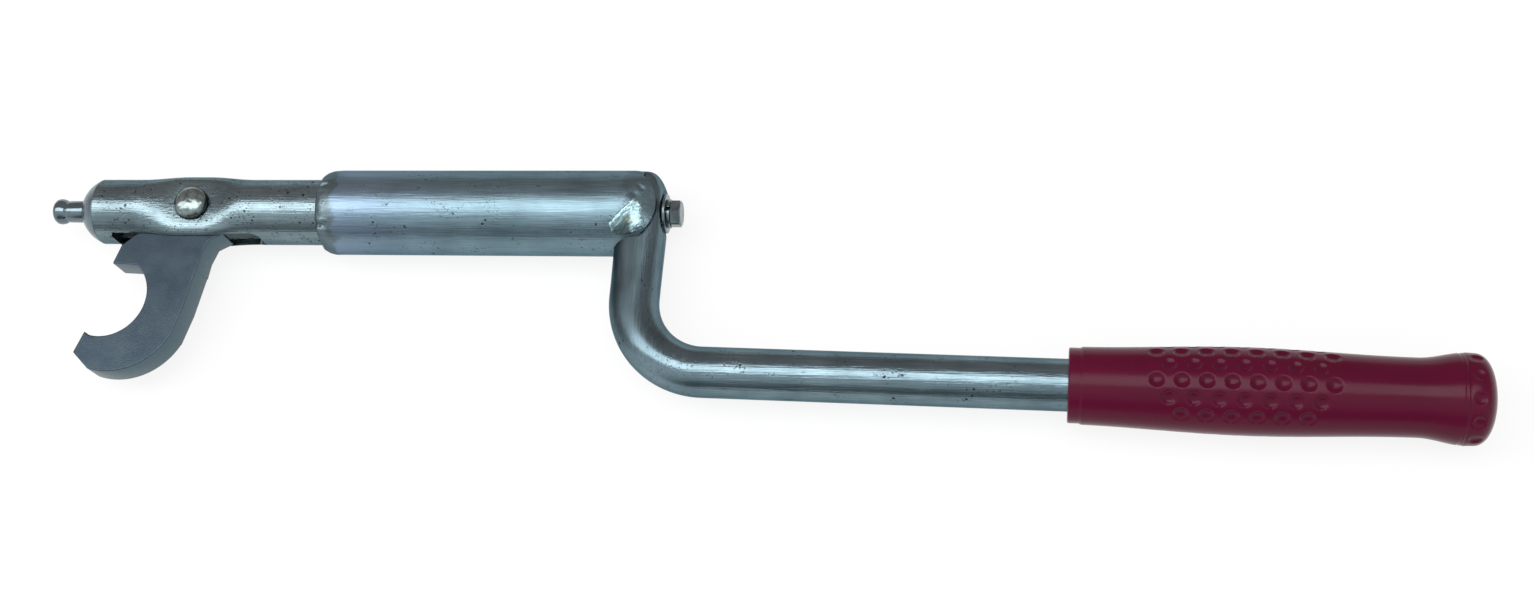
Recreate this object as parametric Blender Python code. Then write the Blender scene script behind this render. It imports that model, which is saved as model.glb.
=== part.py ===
"""Cranked hook lever: a slotted nose with a swinging hook, a barrel it swivels in, and a gripped crank.

The tool lies flat as it would on a bench. X runs along the barrel towards the grip, Y from the
handle towards the barrel, Z up. The frame's origin is under the middle of the lying tool.
Sizes below are measured from the hook's pivot, where the rivet crosses the barrel's axis.
"""
import math

import bmesh
import bpy
from mathutils import Matrix, Vector

MM = 0.001

# Fits
SEAT_GAP = 0.3 * MM
RUNNING_GAP = 0.3 * MM
HOOK_SIDE_GAP = 0.4 * MM

# Nose tube
NOSE_DIAMETER = 27.2 * MM
NOSE_WALL = 2.6 * MM
NOSE_FRONT_X = -41.6 * MM
PINCH_HALF_LENGTH = 31.0 * MM
PINCH_FLAT = 5.0 * MM
PINCH_SPARE = 0.4 * MM
PINCH_BULGE = 1.3 * MM
PINCH_SHARPNESS = 6.0
SLOT_FRONT_X = -34.1 * MM
SLOT_REAR_X = 29.4 * MM

# Nose cap and spigot
CAP_DOME_LENGTH = 8.4 * MM
CAP_DOME_SLOPE = 0.31
CAP_FRONT_SHARE = 0.4
CAP_STUB_LENGTH = 5.0 * MM
SPIGOT_DIAMETER = 9.3 * MM
SPIGOT_TANG_DIAMETER = 8.0 * MM
SPIGOT_REACH = 13.9 * MM
SPIGOT_FLANGE_DIAMETER = 10.9 * MM
SPIGOT_FLANGE_LENGTH = 6.0 * MM
SPIGOT_CHAMFER = 0.8 * MM

# Hook plate, its outline measured from the pivot
HOOK_THICKNESS = 12.0 * MM
HOOK_EDGE_CHAMFER = 0.5 * MM
HOOK_HEAD_RADIUS = 8.0 * MM
HOOK_HEAD_START = -30.0
HOOK_HEAD_END = 195.0
HOOK_MOUTH_CENTRE = Vector((-32.3 * MM, -39.6 * MM))
HOOK_MOUTH_RADIUS = 17.7 * MM
HOOK_BACK_CENTRE = Vector((-26.4 * MM, -44.4 * MM))
HOOK_BACK_RADIUS = 28.0 * MM
HOOK_BACK_START = -107.0
HOOK_BACK_END = -28.0
HOOK_ROOT_REAR = Vector((14.4 * MM, -12.2 * MM))
HOOK_ROOT_REAR_FILLET = Vector((8.5 * MM, -15.4 * MM))
HOOK_NECK_REAR = Vector((6.2 * MM, -21.6 * MM))
HOOK_FACET_TOP = Vector((5.1 * MM, -29.2 * MM))
HOOK_FACET_FOOT = Vector((2.3 * MM, -44.5 * MM))
HOOK_ROOT_FRONT = Vector((-24.1 * MM, -12.7 * MM))
HOOK_BROW = Vector((-29.2 * MM, -17.3 * MM))
HOOK_TOOTH_TIP = Vector((-31.8 * MM, -25.5 * MM))
HOOK_TOOTH_FACE_Y = -26.0 * MM
HOOK_LIP_ANGLE = -103.0
HOOK_LIP_TOP = Vector((-38.6 * MM, -55.4 * MM))
HOOK_LIP_TIP = Vector((-41.9 * MM, -64.4 * MM))

# Rivet
RIVET_DIAMETER = 8.0 * MM
RIVET_HEAD_DIAMETER = 14.4 * MM
RIVET_HEAD_HEIGHT = 4.2 * MM

# Barrel and what it holds
BARREL_WALL = 2.0 * MM
BARREL_MOUTH_X = 56.0 * MM
BARREL_NECK_LENGTH = 7.5 * MM
BARREL_LIP_WALL = 0.9 * MM
BARREL_EAR_END = 1.3 * MM
BUSH_WALL = 1.3 * MM
BUSH_LENGTH = 22.0 * MM
END_DISC_THICKNESS = 4.0 * MM
END_DISC_SET_BACK = 3.6 * MM
THRUST_WASHER_THICKNESS = 2.0 * MM
SPINDLE_PLUG_LENGTH = 20.0 * MM

# Crank tube, bent from the web that stands on the barrel's end to the handle
CRANK_DIAMETER = 20.2 * MM
CRANK_WALL = 2.6 * MM
WEB_X = 189.6 * MM
WEB_LEAN = 1.0
AXIS_OFFSET = 66.5 * MM
HANDLE_SLOPE = 1.2
BEND_RADIUS = 30.0 * MM
CRANK_TOP_DROP = 0.5 * MM
CRANK_FLATNESS = 2.8
CRANK_CROWN = 2.4
CRANK_CROWN_WIDTH = 0.25
SPOT_FACE_DEPTH = 1.4 * MM
SPOT_FACE_MARGIN = 0.7 * MM

# Bolt, washers and sleeve
BOLT_DIAMETER = 6.0 * MM
BOLT_FLATS = 10.0 * MM
BOLT_HEAD_HEIGHT = 4.0 * MM
BOLT_HEAD_TURN = 20.0
BOLT_ENGAGEMENT = 15.0 * MM
FLAT_WASHER_DIAMETER = 16.0 * MM
FLAT_WASHER_THICKNESS = 1.2 * MM
SPRING_WASHER_DIAMETER = 11.8 * MM
SPRING_WASHER_THICKNESS = 1.2 * MM
SPRING_WASHER_SPLIT = 1.2 * MM
SLEEVE_WALL = 1.8 * MM

# Weld beads
WELD_RADIUS = 6.4 * MM
WELD_PROUD = 1.3 * MM
WELD_SET_BACK = 2.6 * MM
WELD_LOW_ANGLE = -74.0
WELD_HIGH_ANGLE = 20.0
WELD_TAPER = 0.8

# Grip, its places measured along it from its mouth or its end
GRIP_MOUTH_FROM_CORNER = 171.8 * MM
GRIP_LENGTH = 154.9 * MM
GRIP_END_WALL = 7.0 * MM
GRIP_MOUTH_DIAMETER = 29.7 * MM
GRIP_COLLAR_DIAMETER = 28.9 * MM
GRIP_COLLAR_LENGTH = 4.2 * MM
GRIP_SWELL_DIAMETER = 33.4 * MM
GRIP_SWELL_PLACE = 66.0 * MM
GRIP_NECK_DIAMETER = 29.9 * MM
GRIP_NECK_FROM_END = 26.9 * MM
GRIP_FLARE_DIAMETER = 34.8 * MM
GRIP_FLARE_FROM_END = 8.9 * MM
GRIP_END_FULLNESS = 0.75
GRIP_EDGE = 0.6 * MM

# Facets round a turned piece
SIDES = 28

# Radii, halves and places that follow from the sizes above
NOSE_RADIUS = NOSE_DIAMETER / 2
NOSE_BORE = NOSE_RADIUS - NOSE_WALL
BUSH_BORE = NOSE_RADIUS + RUNNING_GAP
BUSH_RADIUS = BUSH_BORE + BUSH_WALL
BARREL_BORE = BUSH_RADIUS + SEAT_GAP
BARREL_RADIUS = BARREL_BORE + BARREL_WALL
BARREL_DIAMETER = 2 * BARREL_RADIUS
CRANK_RADIUS = CRANK_DIAMETER / 2
BOLT_RADIUS = BOLT_DIAMETER / 2
SLEEVE_BORE = BOLT_RADIUS + RUNNING_GAP
SLEEVE_RADIUS = SLEEVE_BORE + SLEEVE_WALL
SLEEVE_HOLE = SLEEVE_RADIUS + RUNNING_GAP
HOOK_HALF = HOOK_THICKNESS / 2
SLOT_HALF = HOOK_HALF + HOOK_SIDE_GAP
PINCH_INNER = SLOT_HALF + PINCH_SPARE
PINCH_OUTER = PINCH_INNER + NOSE_WALL
CAP_FRONT_X = NOSE_FRONT_X - SEAT_GAP - CAP_DOME_LENGTH
BARREL_REAR_X = WEB_X + BARREL_EAR_END
END_DISC_REAR_X = WEB_X - CRANK_RADIUS - END_DISC_SET_BACK
END_DISC_FRONT_X = END_DISC_REAR_X - END_DISC_THICKNESS
THRUST_FRONT_X = END_DISC_FRONT_X - RUNNING_GAP - THRUST_WASHER_THICKNESS
NOSE_REAR_X = THRUST_FRONT_X - RUNNING_GAP
SPOT_FACE_X = WEB_X + CRANK_RADIUS - SPOT_FACE_DEPTH
FLAT_WASHER_X = SPOT_FACE_X + RUNNING_GAP
SPRING_WASHER_X = FLAT_WASHER_X + FLAT_WASHER_THICKNESS + SEAT_GAP
BOLT_HEAD_X = SPRING_WASHER_X + SPRING_WASHER_THICKNESS + SEAT_GAP
GRIP_NECK_PLACE = GRIP_LENGTH - GRIP_NECK_FROM_END
GRIP_FLARE_PLACE = GRIP_LENGTH - GRIP_FLARE_FROM_END

WEB_DIRECTION = Vector((-math.sin(math.radians(WEB_LEAN)), -math.cos(math.radians(WEB_LEAN))))
HANDLE_DIRECTION = Vector((math.cos(math.radians(HANDLE_SLOPE)), -math.sin(math.radians(HANDLE_SLOPE))))
CORNER = Vector((WEB_X - math.tan(math.radians(WEB_LEAN)) * AXIS_OFFSET, -AXIS_OFFSET))


def clear_scene():
    for item in list(bpy.data.objects):
        bpy.data.objects.remove(item, do_unlink=True)


def finish_material(name, colour, roughness, metallic):
    material = bpy.data.materials.new(name)
    material.use_nodes = True
    shader = material.node_tree.nodes["Principled BSDF"]
    shader.inputs["Base Color"].default_value = (*colour, 1.0)
    shader.inputs["Roughness"].default_value = roughness
    shader.inputs["Metallic"].default_value = metallic
    return material


def add_empty(name, parent=None):
    empty = bpy.data.objects.new(name, None)
    bpy.context.collection.objects.link(empty)
    empty.parent = parent
    return empty


def add_piece(name, bm, parent, material, sharp_angle=35.0):
    """Turn a bmesh into a named object, smooth except at real corners."""
    bmesh.ops.recalc_face_normals(bm, faces=bm.faces)
    mesh = bpy.data.meshes.new(name)
    bm.to_mesh(mesh)
    bm.free()
    mesh.shade_smooth()
    mesh.set_sharp_from_angle(angle=math.radians(sharp_angle))
    mesh.materials.append(material)
    piece = bpy.data.objects.new(name, mesh)
    bpy.context.collection.objects.link(piece)
    piece.parent = parent
    return piece


def as_cutter(piece):
    piece.hide_render = True
    piece.display_type = "WIRE"
    return piece


def cut(piece, cutter):
    boolean = piece.modifiers.new("cut_" + cutter.name, "BOOLEAN")
    boolean.operation = "DIFFERENCE"
    boolean.solver = "EXACT"
    boolean.object = cutter


def arc(centre, radius, start, end, steps):
    """Points on a circle from one angle to another, in degrees."""
    angles = [math.radians(start + (end - start) * i / steps) for i in range(steps + 1)]
    return [centre + radius * Vector((math.cos(a), math.sin(a))) for a in angles]


def turned(profile, closed, sides=SIDES):
    """Spin a profile of (x, radius) points about X. A closed profile leaves a bore."""
    bm = bmesh.new()
    verts = [bm.verts.new((x, 0.0, radius)) for x, radius in profile]
    edges = [bm.edges.new(pair) for pair in zip(verts, verts[1:])]
    if closed:
        edges.append(bm.edges.new((verts[-1], verts[0])))
    bmesh.ops.spin(bm, geom=verts + edges, cent=(0, 0, 0), axis=(1, 0, 0), angle=math.tau,
                   steps=sides, use_merge=True)
    bmesh.ops.remove_doubles(bm, verts=bm.verts, dist=1e-6)
    return bm


def tube_profile(front, rear, bore, radius):
    return [(front, radius), (rear, radius), (rear, bore), (front, bore)]


def loft(rings):
    """Join rings of equally many points by quads and close both ends."""
    bm = bmesh.new()
    loops = [[bm.verts.new(point) for point in ring] for ring in rings]
    count = len(loops[0])
    for first, second in zip(loops, loops[1:]):
        for i in range(count):
            j = (i + 1) % count
            bm.faces.new((first[i], first[j], second[j], second[i]))
    bm.faces.new(loops[0])
    bm.faces.new(loops[-1])
    return bm


def prism(outline, low, high):
    """Extrude a closed outline of (x, y) points along Z."""
    bm = bmesh.new()
    face = bm.faces.new([bm.verts.new((x, y, low)) for x, y in outline])
    raised = bmesh.ops.extrude_face_region(bm, geom=[face])
    top = [item for item in raised["geom"] if isinstance(item, bmesh.types.BMVert)]
    bmesh.ops.translate(bm, verts=top, vec=(0, 0, high - low))
    return bm


def cylinder(radius, low, high, axis):
    """A plain round bar along X or Z, used to cut holes."""
    bm = bmesh.new()
    bmesh.ops.create_cone(bm, cap_ends=True, segments=SIDES, radius1=radius, radius2=radius,
                          depth=high - low)
    bmesh.ops.translate(bm, verts=bm.verts, vec=(0, 0, (low + high) / 2))
    if axis == "X":
        bmesh.ops.rotate(bm, verts=bm.verts, cent=(0, 0, 0), matrix=Matrix.Rotation(math.pi / 2, 3, "Y"))
    return bm


def nose_point(point):
    """Press the tube's two sides in at the rivet, and let its top and bottom bulge."""
    past_flat = max(abs(point.x) - PINCH_FLAT, 0.0)
    share = min(past_flat / (PINCH_HALF_LENGTH - PINCH_FLAT), 1.0)
    press = 0.5 + 0.5 * math.cos(math.pi * share)
    outer = math.hypot(point.y, point.z) > (NOSE_RADIUS + NOSE_BORE) / 2
    limit = PINCH_OUTER if outer else PINCH_INNER
    ratio = abs(point.z) / limit
    pressed = limit * ratio / (1 + ratio ** PINCH_SHARPNESS) ** (1 / PINCH_SHARPNESS)
    z = math.copysign(abs(point.z) + (pressed - abs(point.z)) * press, point.z)
    y = point.y * (1 + PINCH_BULGE / NOSE_RADIUS * press)
    return Vector((point.x, y, z))


def make_nose_tube(parent, material):
    pinch_steps = 18
    span = NOSE_FRONT_X, PINCH_HALF_LENGTH
    stations = [span[0] + (span[1] - span[0]) * i / pinch_steps for i in range(pinch_steps + 1)]
    stations.append(NOSE_REAR_X)
    profile = [(x, NOSE_RADIUS) for x in stations] + [(x, NOSE_BORE) for x in reversed(stations)]
    bm = turned(profile, closed=True, sides=SIDES + 8)
    for vert in bm.verts:
        vert.co = nose_point(vert.co)
    tube = add_piece("nose_tube", bm, parent, material)

    below = -NOSE_RADIUS - PINCH_BULGE - NOSE_WALL
    slot_top = -NOSE_BORE / 2
    slot = [(SLOT_FRONT_X, below), (SLOT_REAR_X, below), (SLOT_REAR_X, slot_top), (SLOT_FRONT_X, slot_top)]
    slot_bm = prism(slot, -SLOT_HALF, SLOT_HALF)
    cut(tube, as_cutter(add_piece("nose_slot_cutter", slot_bm, parent, material)))
    hole_bm = cylinder(RIVET_DIAMETER / 2 + SEAT_GAP, -NOSE_DIAMETER, NOSE_DIAMETER, "Z")
    cut(tube, as_cutter(add_piece("nose_rivet_cutter", hole_bm, parent, material)))


def make_nose_cap(parent, material):
    shoulder_x = NOSE_FRONT_X - SEAT_GAP
    hole = SPIGOT_TANG_DIAMETER / 2 + SEAT_GAP
    steps = 8
    dome = []
    for i in range(steps + 1):
        share = i / steps
        fall = CAP_DOME_SLOPE * share + (1 - CAP_FRONT_SHARE - CAP_DOME_SLOPE) * share ** 3
        dome.append((shoulder_x - CAP_DOME_LENGTH * share, NOSE_RADIUS * (1 - fall)))
    stub_radius = NOSE_BORE - SEAT_GAP
    stub_x = NOSE_FRONT_X + CAP_STUB_LENGTH
    rear = [(CAP_FRONT_X, hole), (stub_x, hole), (stub_x, stub_radius), (shoulder_x, stub_radius)]
    add_piece("nose_cap", turned(dome + rear, closed=True), parent, material)


def make_spigot(parent, material):
    shank = SPIGOT_DIAMETER / 2
    tang = SPIGOT_TANG_DIAMETER / 2
    flange = SPIGOT_FLANGE_DIAMETER / 2
    tip_x = CAP_FRONT_X - SPIGOT_REACH
    neck_x = tip_x + SPIGOT_FLANGE_LENGTH
    seat_x = CAP_FRONT_X - SEAT_GAP
    tail_x = NOSE_FRONT_X + CAP_STUB_LENGTH
    profile = [(tip_x, 0.0), (tip_x, flange - SPIGOT_CHAMFER), (tip_x + SPIGOT_CHAMFER, flange),
               (neck_x - SPIGOT_CHAMFER, flange), (neck_x, shank), (seat_x, shank), (seat_x, tang),
               (tail_x, tang), (tail_x, 0.0)]
    add_piece("spigot", turned(profile, closed=False), parent, material)


def hook_outline():
    back = arc(HOOK_BACK_CENTRE, HOOK_BACK_RADIUS, HOOK_BACK_START, HOOK_BACK_END, 12)
    head = arc(Vector((0.0, 0.0)), HOOK_HEAD_RADIUS, HOOK_HEAD_START, HOOK_HEAD_END, 12)
    rise = HOOK_TOOTH_FACE_Y - HOOK_MOUTH_CENTRE.y
    mouth_start = math.degrees(math.asin(rise / HOOK_MOUTH_RADIUS))
    mouth = arc(HOOK_MOUTH_CENTRE, HOOK_MOUTH_RADIUS, mouth_start, HOOK_LIP_ANGLE, 16)
    rear = [HOOK_FACET_FOOT, HOOK_FACET_TOP, HOOK_NECK_REAR, HOOK_ROOT_REAR_FILLET, HOOK_ROOT_REAR]
    front = [HOOK_ROOT_FRONT, HOOK_BROW, HOOK_TOOTH_TIP]
    return back + rear + head + front + mouth + [HOOK_LIP_TOP, HOOK_LIP_TIP]


def make_hook(parent, material):
    hook = add_piece("hook", prism(hook_outline(), -HOOK_HALF, HOOK_HALF), parent, material)
    chamfer = hook.modifiers.new("edge_chamfer", "BEVEL")
    chamfer.width = HOOK_EDGE_CHAMFER
    chamfer.segments = 1
    chamfer.limit_method = "ANGLE"
    chamfer.angle_limit = math.radians(60)
    hole_bm = cylinder(RIVET_DIAMETER / 2 + RUNNING_GAP, -HOOK_THICKNESS, HOOK_THICKNESS, "Z")
    cut(hook, as_cutter(add_piece("hook_rivet_cutter", hole_bm, parent, material)))


def make_pivot_rivet(parent, material):
    seat = PINCH_OUTER + SEAT_GAP
    head_radius = RIVET_HEAD_DIAMETER / 2
    shank = RIVET_DIAMETER / 2
    steps = 6
    dome = []
    for i in range(steps + 1):
        angle = math.pi / 2 * i / steps
        dome.append((seat + RIVET_HEAD_HEIGHT * math.cos(angle), head_radius * math.sin(angle)))
    half = dome + [(seat, shank)]
    profile = half + [(-along, radius) for along, radius in reversed(half)]
    bm = turned(profile, closed=False)
    bmesh.ops.rotate(bm, verts=bm.verts, cent=(0, 0, 0), matrix=Matrix.Rotation(math.pi / 2, 3, "Y"))
    add_piece("pivot_rivet", bm, parent, material)


def saddle_x(z):
    """Where the barrel's end, coped over the crank, lies at a distance from the crank's plane."""
    return WEB_X - math.sqrt(max(CRANK_RADIUS ** 2 - z ** 2, 0.0))


def make_barrel(parent, material, crank_form):
    neck_x = BARREL_MOUTH_X + BARREL_NECK_LENGTH
    lip = BUSH_BORE + BARREL_LIP_WALL
    steps = 5
    neck = []
    for i in range(steps + 1):
        angle = math.pi / 2 * i / steps
        x = neck_x - BARREL_NECK_LENGTH * math.cos(angle)
        neck.append((x, lip + (BARREL_RADIUS - lip) * math.sin(angle)))
    rear = [(BARREL_REAR_X, BARREL_RADIUS), (BARREL_REAR_X, BARREL_BORE)]
    inside = [(neck_x, BARREL_BORE), (BARREL_MOUTH_X + BARREL_WALL, BUSH_BORE), (BARREL_MOUTH_X, BUSH_BORE)]
    barrel = add_piece("barrel", turned(neck + rear + inside, closed=True), parent, material)
    cut(barrel, crank_form)


def make_barrel_fittings(handle, nose, bush_material, steel):
    neck_x = BARREL_MOUTH_X + BARREL_NECK_LENGTH + SEAT_GAP
    front = tube_profile(neck_x, neck_x + BUSH_LENGTH, BUSH_BORE, BUSH_RADIUS)
    add_piece("front_bush", turned(front, closed=True), handle, bush_material)
    rear = tube_profile(NOSE_REAR_X - BUSH_LENGTH, NOSE_REAR_X, BUSH_BORE, BUSH_RADIUS)
    add_piece("rear_bush", turned(rear, closed=True), handle, bush_material)
    disc = tube_profile(END_DISC_FRONT_X, END_DISC_REAR_X, SLEEVE_HOLE, BUSH_RADIUS)
    add_piece("end_disc", turned(disc, closed=True), handle, steel)
    washer = tube_profile(THRUST_FRONT_X, THRUST_FRONT_X + THRUST_WASHER_THICKNESS, SLEEVE_HOLE, NOSE_RADIUS)
    add_piece("thrust_washer", turned(washer, closed=True), nose, bush_material)
    plug = tube_profile(NOSE_REAR_X - SPINDLE_PLUG_LENGTH, NOSE_REAR_X, SLEEVE_BORE, NOSE_BORE - SEAT_GAP)
    add_piece("spindle_plug", turned(plug, closed=True), nose, steel)
    sleeve = tube_profile(NOSE_REAR_X + SEAT_GAP, SPOT_FACE_X, SLEEVE_BORE, SLEEVE_RADIUS)
    add_piece("distance_sleeve", turned(sleeve, closed=True), nose, steel)


def section(centre, across, half_across, half_width, power):
    """A ring across the crank: round at a power of 2, flatter above it."""
    ring = []
    for i in range(SIDES):
        angle = math.tau * i / SIDES
        cosine, sine = math.cos(angle), math.sin(angle)
        u = math.copysign(abs(cosine) ** (2 / power), cosine) * half_across
        w = math.copysign(abs(sine) ** (2 / power), sine) * half_width
        point = centre + across * u
        ring.append((point.x, point.y, w))
    return ring


def web_x(y):
    return WEB_X + math.tan(math.radians(WEB_LEAN)) * y


def crank_top_rings(shrink):
    """Rings up the crank's end. It is pressed flatter where the bolt crosses, and rounds over at the top."""
    levels = [-1.0, -0.75, -0.5, -0.25, 0.0, 0.25, 0.5, 0.7, 0.85, 0.94, 0.985]
    top = BARREL_RADIUS - CRANK_TOP_DROP - shrink
    rings = []
    for level in levels:
        y = BARREL_RADIUS * level if level < 0 else top * level
        pressed = min(level + 1.0, 1.0)
        crown = (1 - max(level, 0.0) ** CRANK_CROWN) ** (1 / CRANK_CROWN)
        half = max(CRANK_RADIUS * crown - shrink, CRANK_WALL / 4)
        crown = CRANK_CROWN_WIDTH + (1 - CRANK_CROWN_WIDTH) * crown
        width = max(CRANK_RADIUS * crown - shrink, CRANK_WALL / 4)
        power = 2 + (CRANK_FLATNESS - 2) * pressed
        rings.append(section(Vector((web_x(y), y)), Vector((1.0, 0.0)), half, width, power))
    return rings


def crank_rings(shrink):
    """All rings of the crank from the handle's end to the top, inset by shrink."""
    radius = CRANK_RADIUS - shrink
    turn = math.acos(WEB_DIRECTION.dot(HANDLE_DIRECTION))
    tangent = BEND_RADIUS * math.tan(turn / 2)
    handle_length = GRIP_MOUTH_FROM_CORNER + GRIP_LENGTH - GRIP_END_WALL - SEAT_GAP
    handle_end = CORNER + HANDLE_DIRECTION * handle_length
    bend_end = CORNER + HANDLE_DIRECTION * tangent
    handle_left = Vector((-HANDLE_DIRECTION.y, HANDLE_DIRECTION.x))
    bend_centre = bend_end + handle_left * BEND_RADIUS
    rings = [section(handle_end, handle_left, radius, radius, 2)]
    bend_steps = 10
    for i in range(bend_steps + 1):
        swing = Matrix.Rotation(-turn * i / bend_steps, 2)
        spoke = swing @ -handle_left
        rings.append(section(bend_centre + spoke * BEND_RADIUS, -spoke, radius, radius, 2))
    return rings + crank_top_rings(shrink)


def make_crank_tube(parent, material):
    rings = list(reversed(crank_rings(CRANK_WALL))) + crank_rings(0.0)
    crank = add_piece("crank_tube", loft(rings), parent, material)
    hole_bm = cylinder(SLEEVE_HOLE, WEB_X - CRANK_DIAMETER, BOLT_HEAD_X, "X")
    cut(crank, as_cutter(add_piece("crank_bolt_cutter", hole_bm, parent, material)))
    spot_radius = FLAT_WASHER_DIAMETER / 2 + SPOT_FACE_MARGIN
    spot_bm = cylinder(spot_radius, SPOT_FACE_X, BOLT_HEAD_X, "X")
    cut(crank, as_cutter(add_piece("crank_spot_cutter", spot_bm, parent, material)))


def make_crank_form(parent, material):
    """The crank's outside with a clearance, to cut what lies against it."""
    return as_cutter(add_piece("crank_form_cutter", loft(crank_rings(-SEAT_GAP)), parent, material))


def make_welds(parent, material, crank_form):
    """A bead on each side, in the corner between the barrel's coped end and the crank."""
    barrel_bm = cylinder(BARREL_RADIUS + SEAT_GAP, BARREL_MOUTH_X, WEB_X + CRANK_DIAMETER, "X")
    barrel_form = as_cutter(add_piece("barrel_form_cutter", barrel_bm, parent, material))
    path_radius = BARREL_RADIUS + WELD_PROUD - WELD_RADIUS
    steps = 14
    for name, side in (("crank_weld_front", 1), ("crank_weld_back", -1)):
        rings = []
        for i in range(steps + 1):
            angle = math.radians(WELD_LOW_ANGLE + (WELD_HIGH_ANGLE - WELD_LOW_ANGLE) * i / steps)
            outward = Vector((0.0, math.sin(angle), side * math.cos(angle)))
            centre = outward * path_radius
            centre.x = saddle_x(BARREL_RADIUS * math.cos(angle)) - WELD_SET_BACK
            swell = WELD_RADIUS * math.sqrt(1 - WELD_TAPER * (2 * i / steps - 1) ** 4)
            along = Vector((1.0, 0.0, 0.0))
            rings.append([centre + (along * math.cos(a) + outward * math.sin(a)) * swell
                          for a in (math.tau * k / 12 for k in range(12))])
        bead = add_piece(name, loft(rings), parent, material)
        cut(bead, barrel_form)
        cut(bead, crank_form)


def make_bolt(parent, material):
    bm = bmesh.new()
    corner_radius = BOLT_FLATS / math.sqrt(3)
    bmesh.ops.create_cone(bm, cap_ends=True, segments=6, radius1=corner_radius, radius2=corner_radius,
                          depth=BOLT_HEAD_HEIGHT)
    bmesh.ops.rotate(bm, verts=bm.verts, cent=(0, 0, 0), matrix=Matrix.Rotation(math.pi / 2, 3, "Y"))
    turn = Matrix.Rotation(math.radians(BOLT_HEAD_TURN), 3, "X")
    bmesh.ops.rotate(bm, verts=bm.verts, cent=(0, 0, 0), matrix=turn)
    bmesh.ops.translate(bm, verts=bm.verts, vec=(BOLT_HEAD_X + BOLT_HEAD_HEIGHT / 2, 0, 0))
    bolt = add_piece("rear_bolt", bm, parent, material)
    shank_bm = cylinder(BOLT_RADIUS, NOSE_REAR_X - BOLT_ENGAGEMENT, BOLT_HEAD_X + BOLT_HEAD_HEIGHT / 2, "X")
    shank = as_cutter(add_piece("bolt_shank_form", shank_bm, parent, material))
    join = bolt.modifiers.new("join_shank", "BOOLEAN")
    join.operation = "UNION"
    join.solver = "EXACT"
    join.object = shank


def make_washers(parent, material):
    bore = BOLT_RADIUS + RUNNING_GAP
    flat_rear = FLAT_WASHER_X + FLAT_WASHER_THICKNESS
    flat = tube_profile(FLAT_WASHER_X, flat_rear, bore, FLAT_WASHER_DIAMETER / 2)
    add_piece("flat_washer", turned(flat, closed=True), parent, material)
    spring_rear = SPRING_WASHER_X + SPRING_WASHER_THICKNESS
    coil = tube_profile(SPRING_WASHER_X, spring_rear, bore, SPRING_WASHER_DIAMETER / 2)
    washer = add_piece("spring_washer", turned(coil, closed=True), parent, material)
    half = SPRING_WASHER_SPLIT / 2
    outline = [(FLAT_WASHER_X, -half), (BOLT_HEAD_X, -half), (BOLT_HEAD_X, half), (FLAT_WASHER_X, half)]
    split_bm = prism(outline, 0.0, SPRING_WASHER_DIAMETER)
    cut(washer, as_cutter(add_piece("spring_washer_cutter", split_bm, parent, material)))


def grip_radius(along):
    """The grip's outer radius, from its mouth through swell and neck to the flare."""
    stops = [(0.0, GRIP_MOUTH_DIAMETER), (GRIP_SWELL_PLACE, GRIP_SWELL_DIAMETER),
             (GRIP_NECK_PLACE, GRIP_NECK_DIAMETER), (GRIP_FLARE_PLACE, GRIP_FLARE_DIAMETER)]
    for (start, first), (end, second) in zip(stops, stops[1:]):
        if along <= end:
            share = 0.5 - 0.5 * math.cos(math.pi * (along - start) / (end - start))
            return (first + (second - first) * share) / 2
    share = (along - GRIP_FLARE_PLACE) / (GRIP_LENGTH - GRIP_FLARE_PLACE)
    return GRIP_FLARE_DIAMETER / 2 * math.sqrt(1 - GRIP_END_FULLNESS * share ** 3)


def make_grip(parent, material):
    bore = CRANK_RADIUS + SEAT_GAP
    collar = GRIP_COLLAR_DIAMETER / 2
    step = GRIP_COLLAR_LENGTH + GRIP_EDGE
    outer = [(0.0, collar - GRIP_EDGE), (GRIP_EDGE, collar), (GRIP_COLLAR_LENGTH, collar),
             (step, grip_radius(step))]
    stops = [(step, GRIP_SWELL_PLACE, 6), (GRIP_SWELL_PLACE, GRIP_NECK_PLACE, 6),
             (GRIP_NECK_PLACE, GRIP_FLARE_PLACE, 5), (GRIP_FLARE_PLACE, GRIP_LENGTH, 7)]
    for start, end, count in stops:
        for i in range(1, count + 1):
            along = start + (end - start) * i / count
            outer.append((along, grip_radius(along)))
    floor = GRIP_LENGTH - GRIP_END_WALL
    profile = [(floor, 0.0), (floor, bore), (0.0, bore)] + outer + [(GRIP_LENGTH, 0.0)]
    grip = add_piece("grip", turned(profile, closed=False), parent, material)
    mouth = CORNER + HANDLE_DIRECTION * GRIP_MOUTH_FROM_CORNER
    grip.location = (mouth.x, mouth.y, 0.0)
    grip.rotation_euler = (0.0, 0.0, -math.radians(HANDLE_SLOPE))


def rest_on_origin(root):
    """Move the whole tool so that the middle of its underside is the frame's origin."""
    bpy.context.view_layer.update()
    graph = bpy.context.evaluated_depsgraph_get()
    low = Vector((math.inf,) * 3)
    high = -low
    for item in bpy.data.objects:
        if item.type != "MESH" or item.hide_render:
            continue
        shown = item.evaluated_get(graph)
        for vert in shown.data.vertices:
            place = shown.matrix_world @ vert.co
            low = Vector(map(min, low, place))
            high = Vector(map(max, high, place))
    root.location = (-(low.x + high.x) / 2, -(low.y + high.y) / 2, -low.z)
    bpy.context.view_layer.update()


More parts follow.
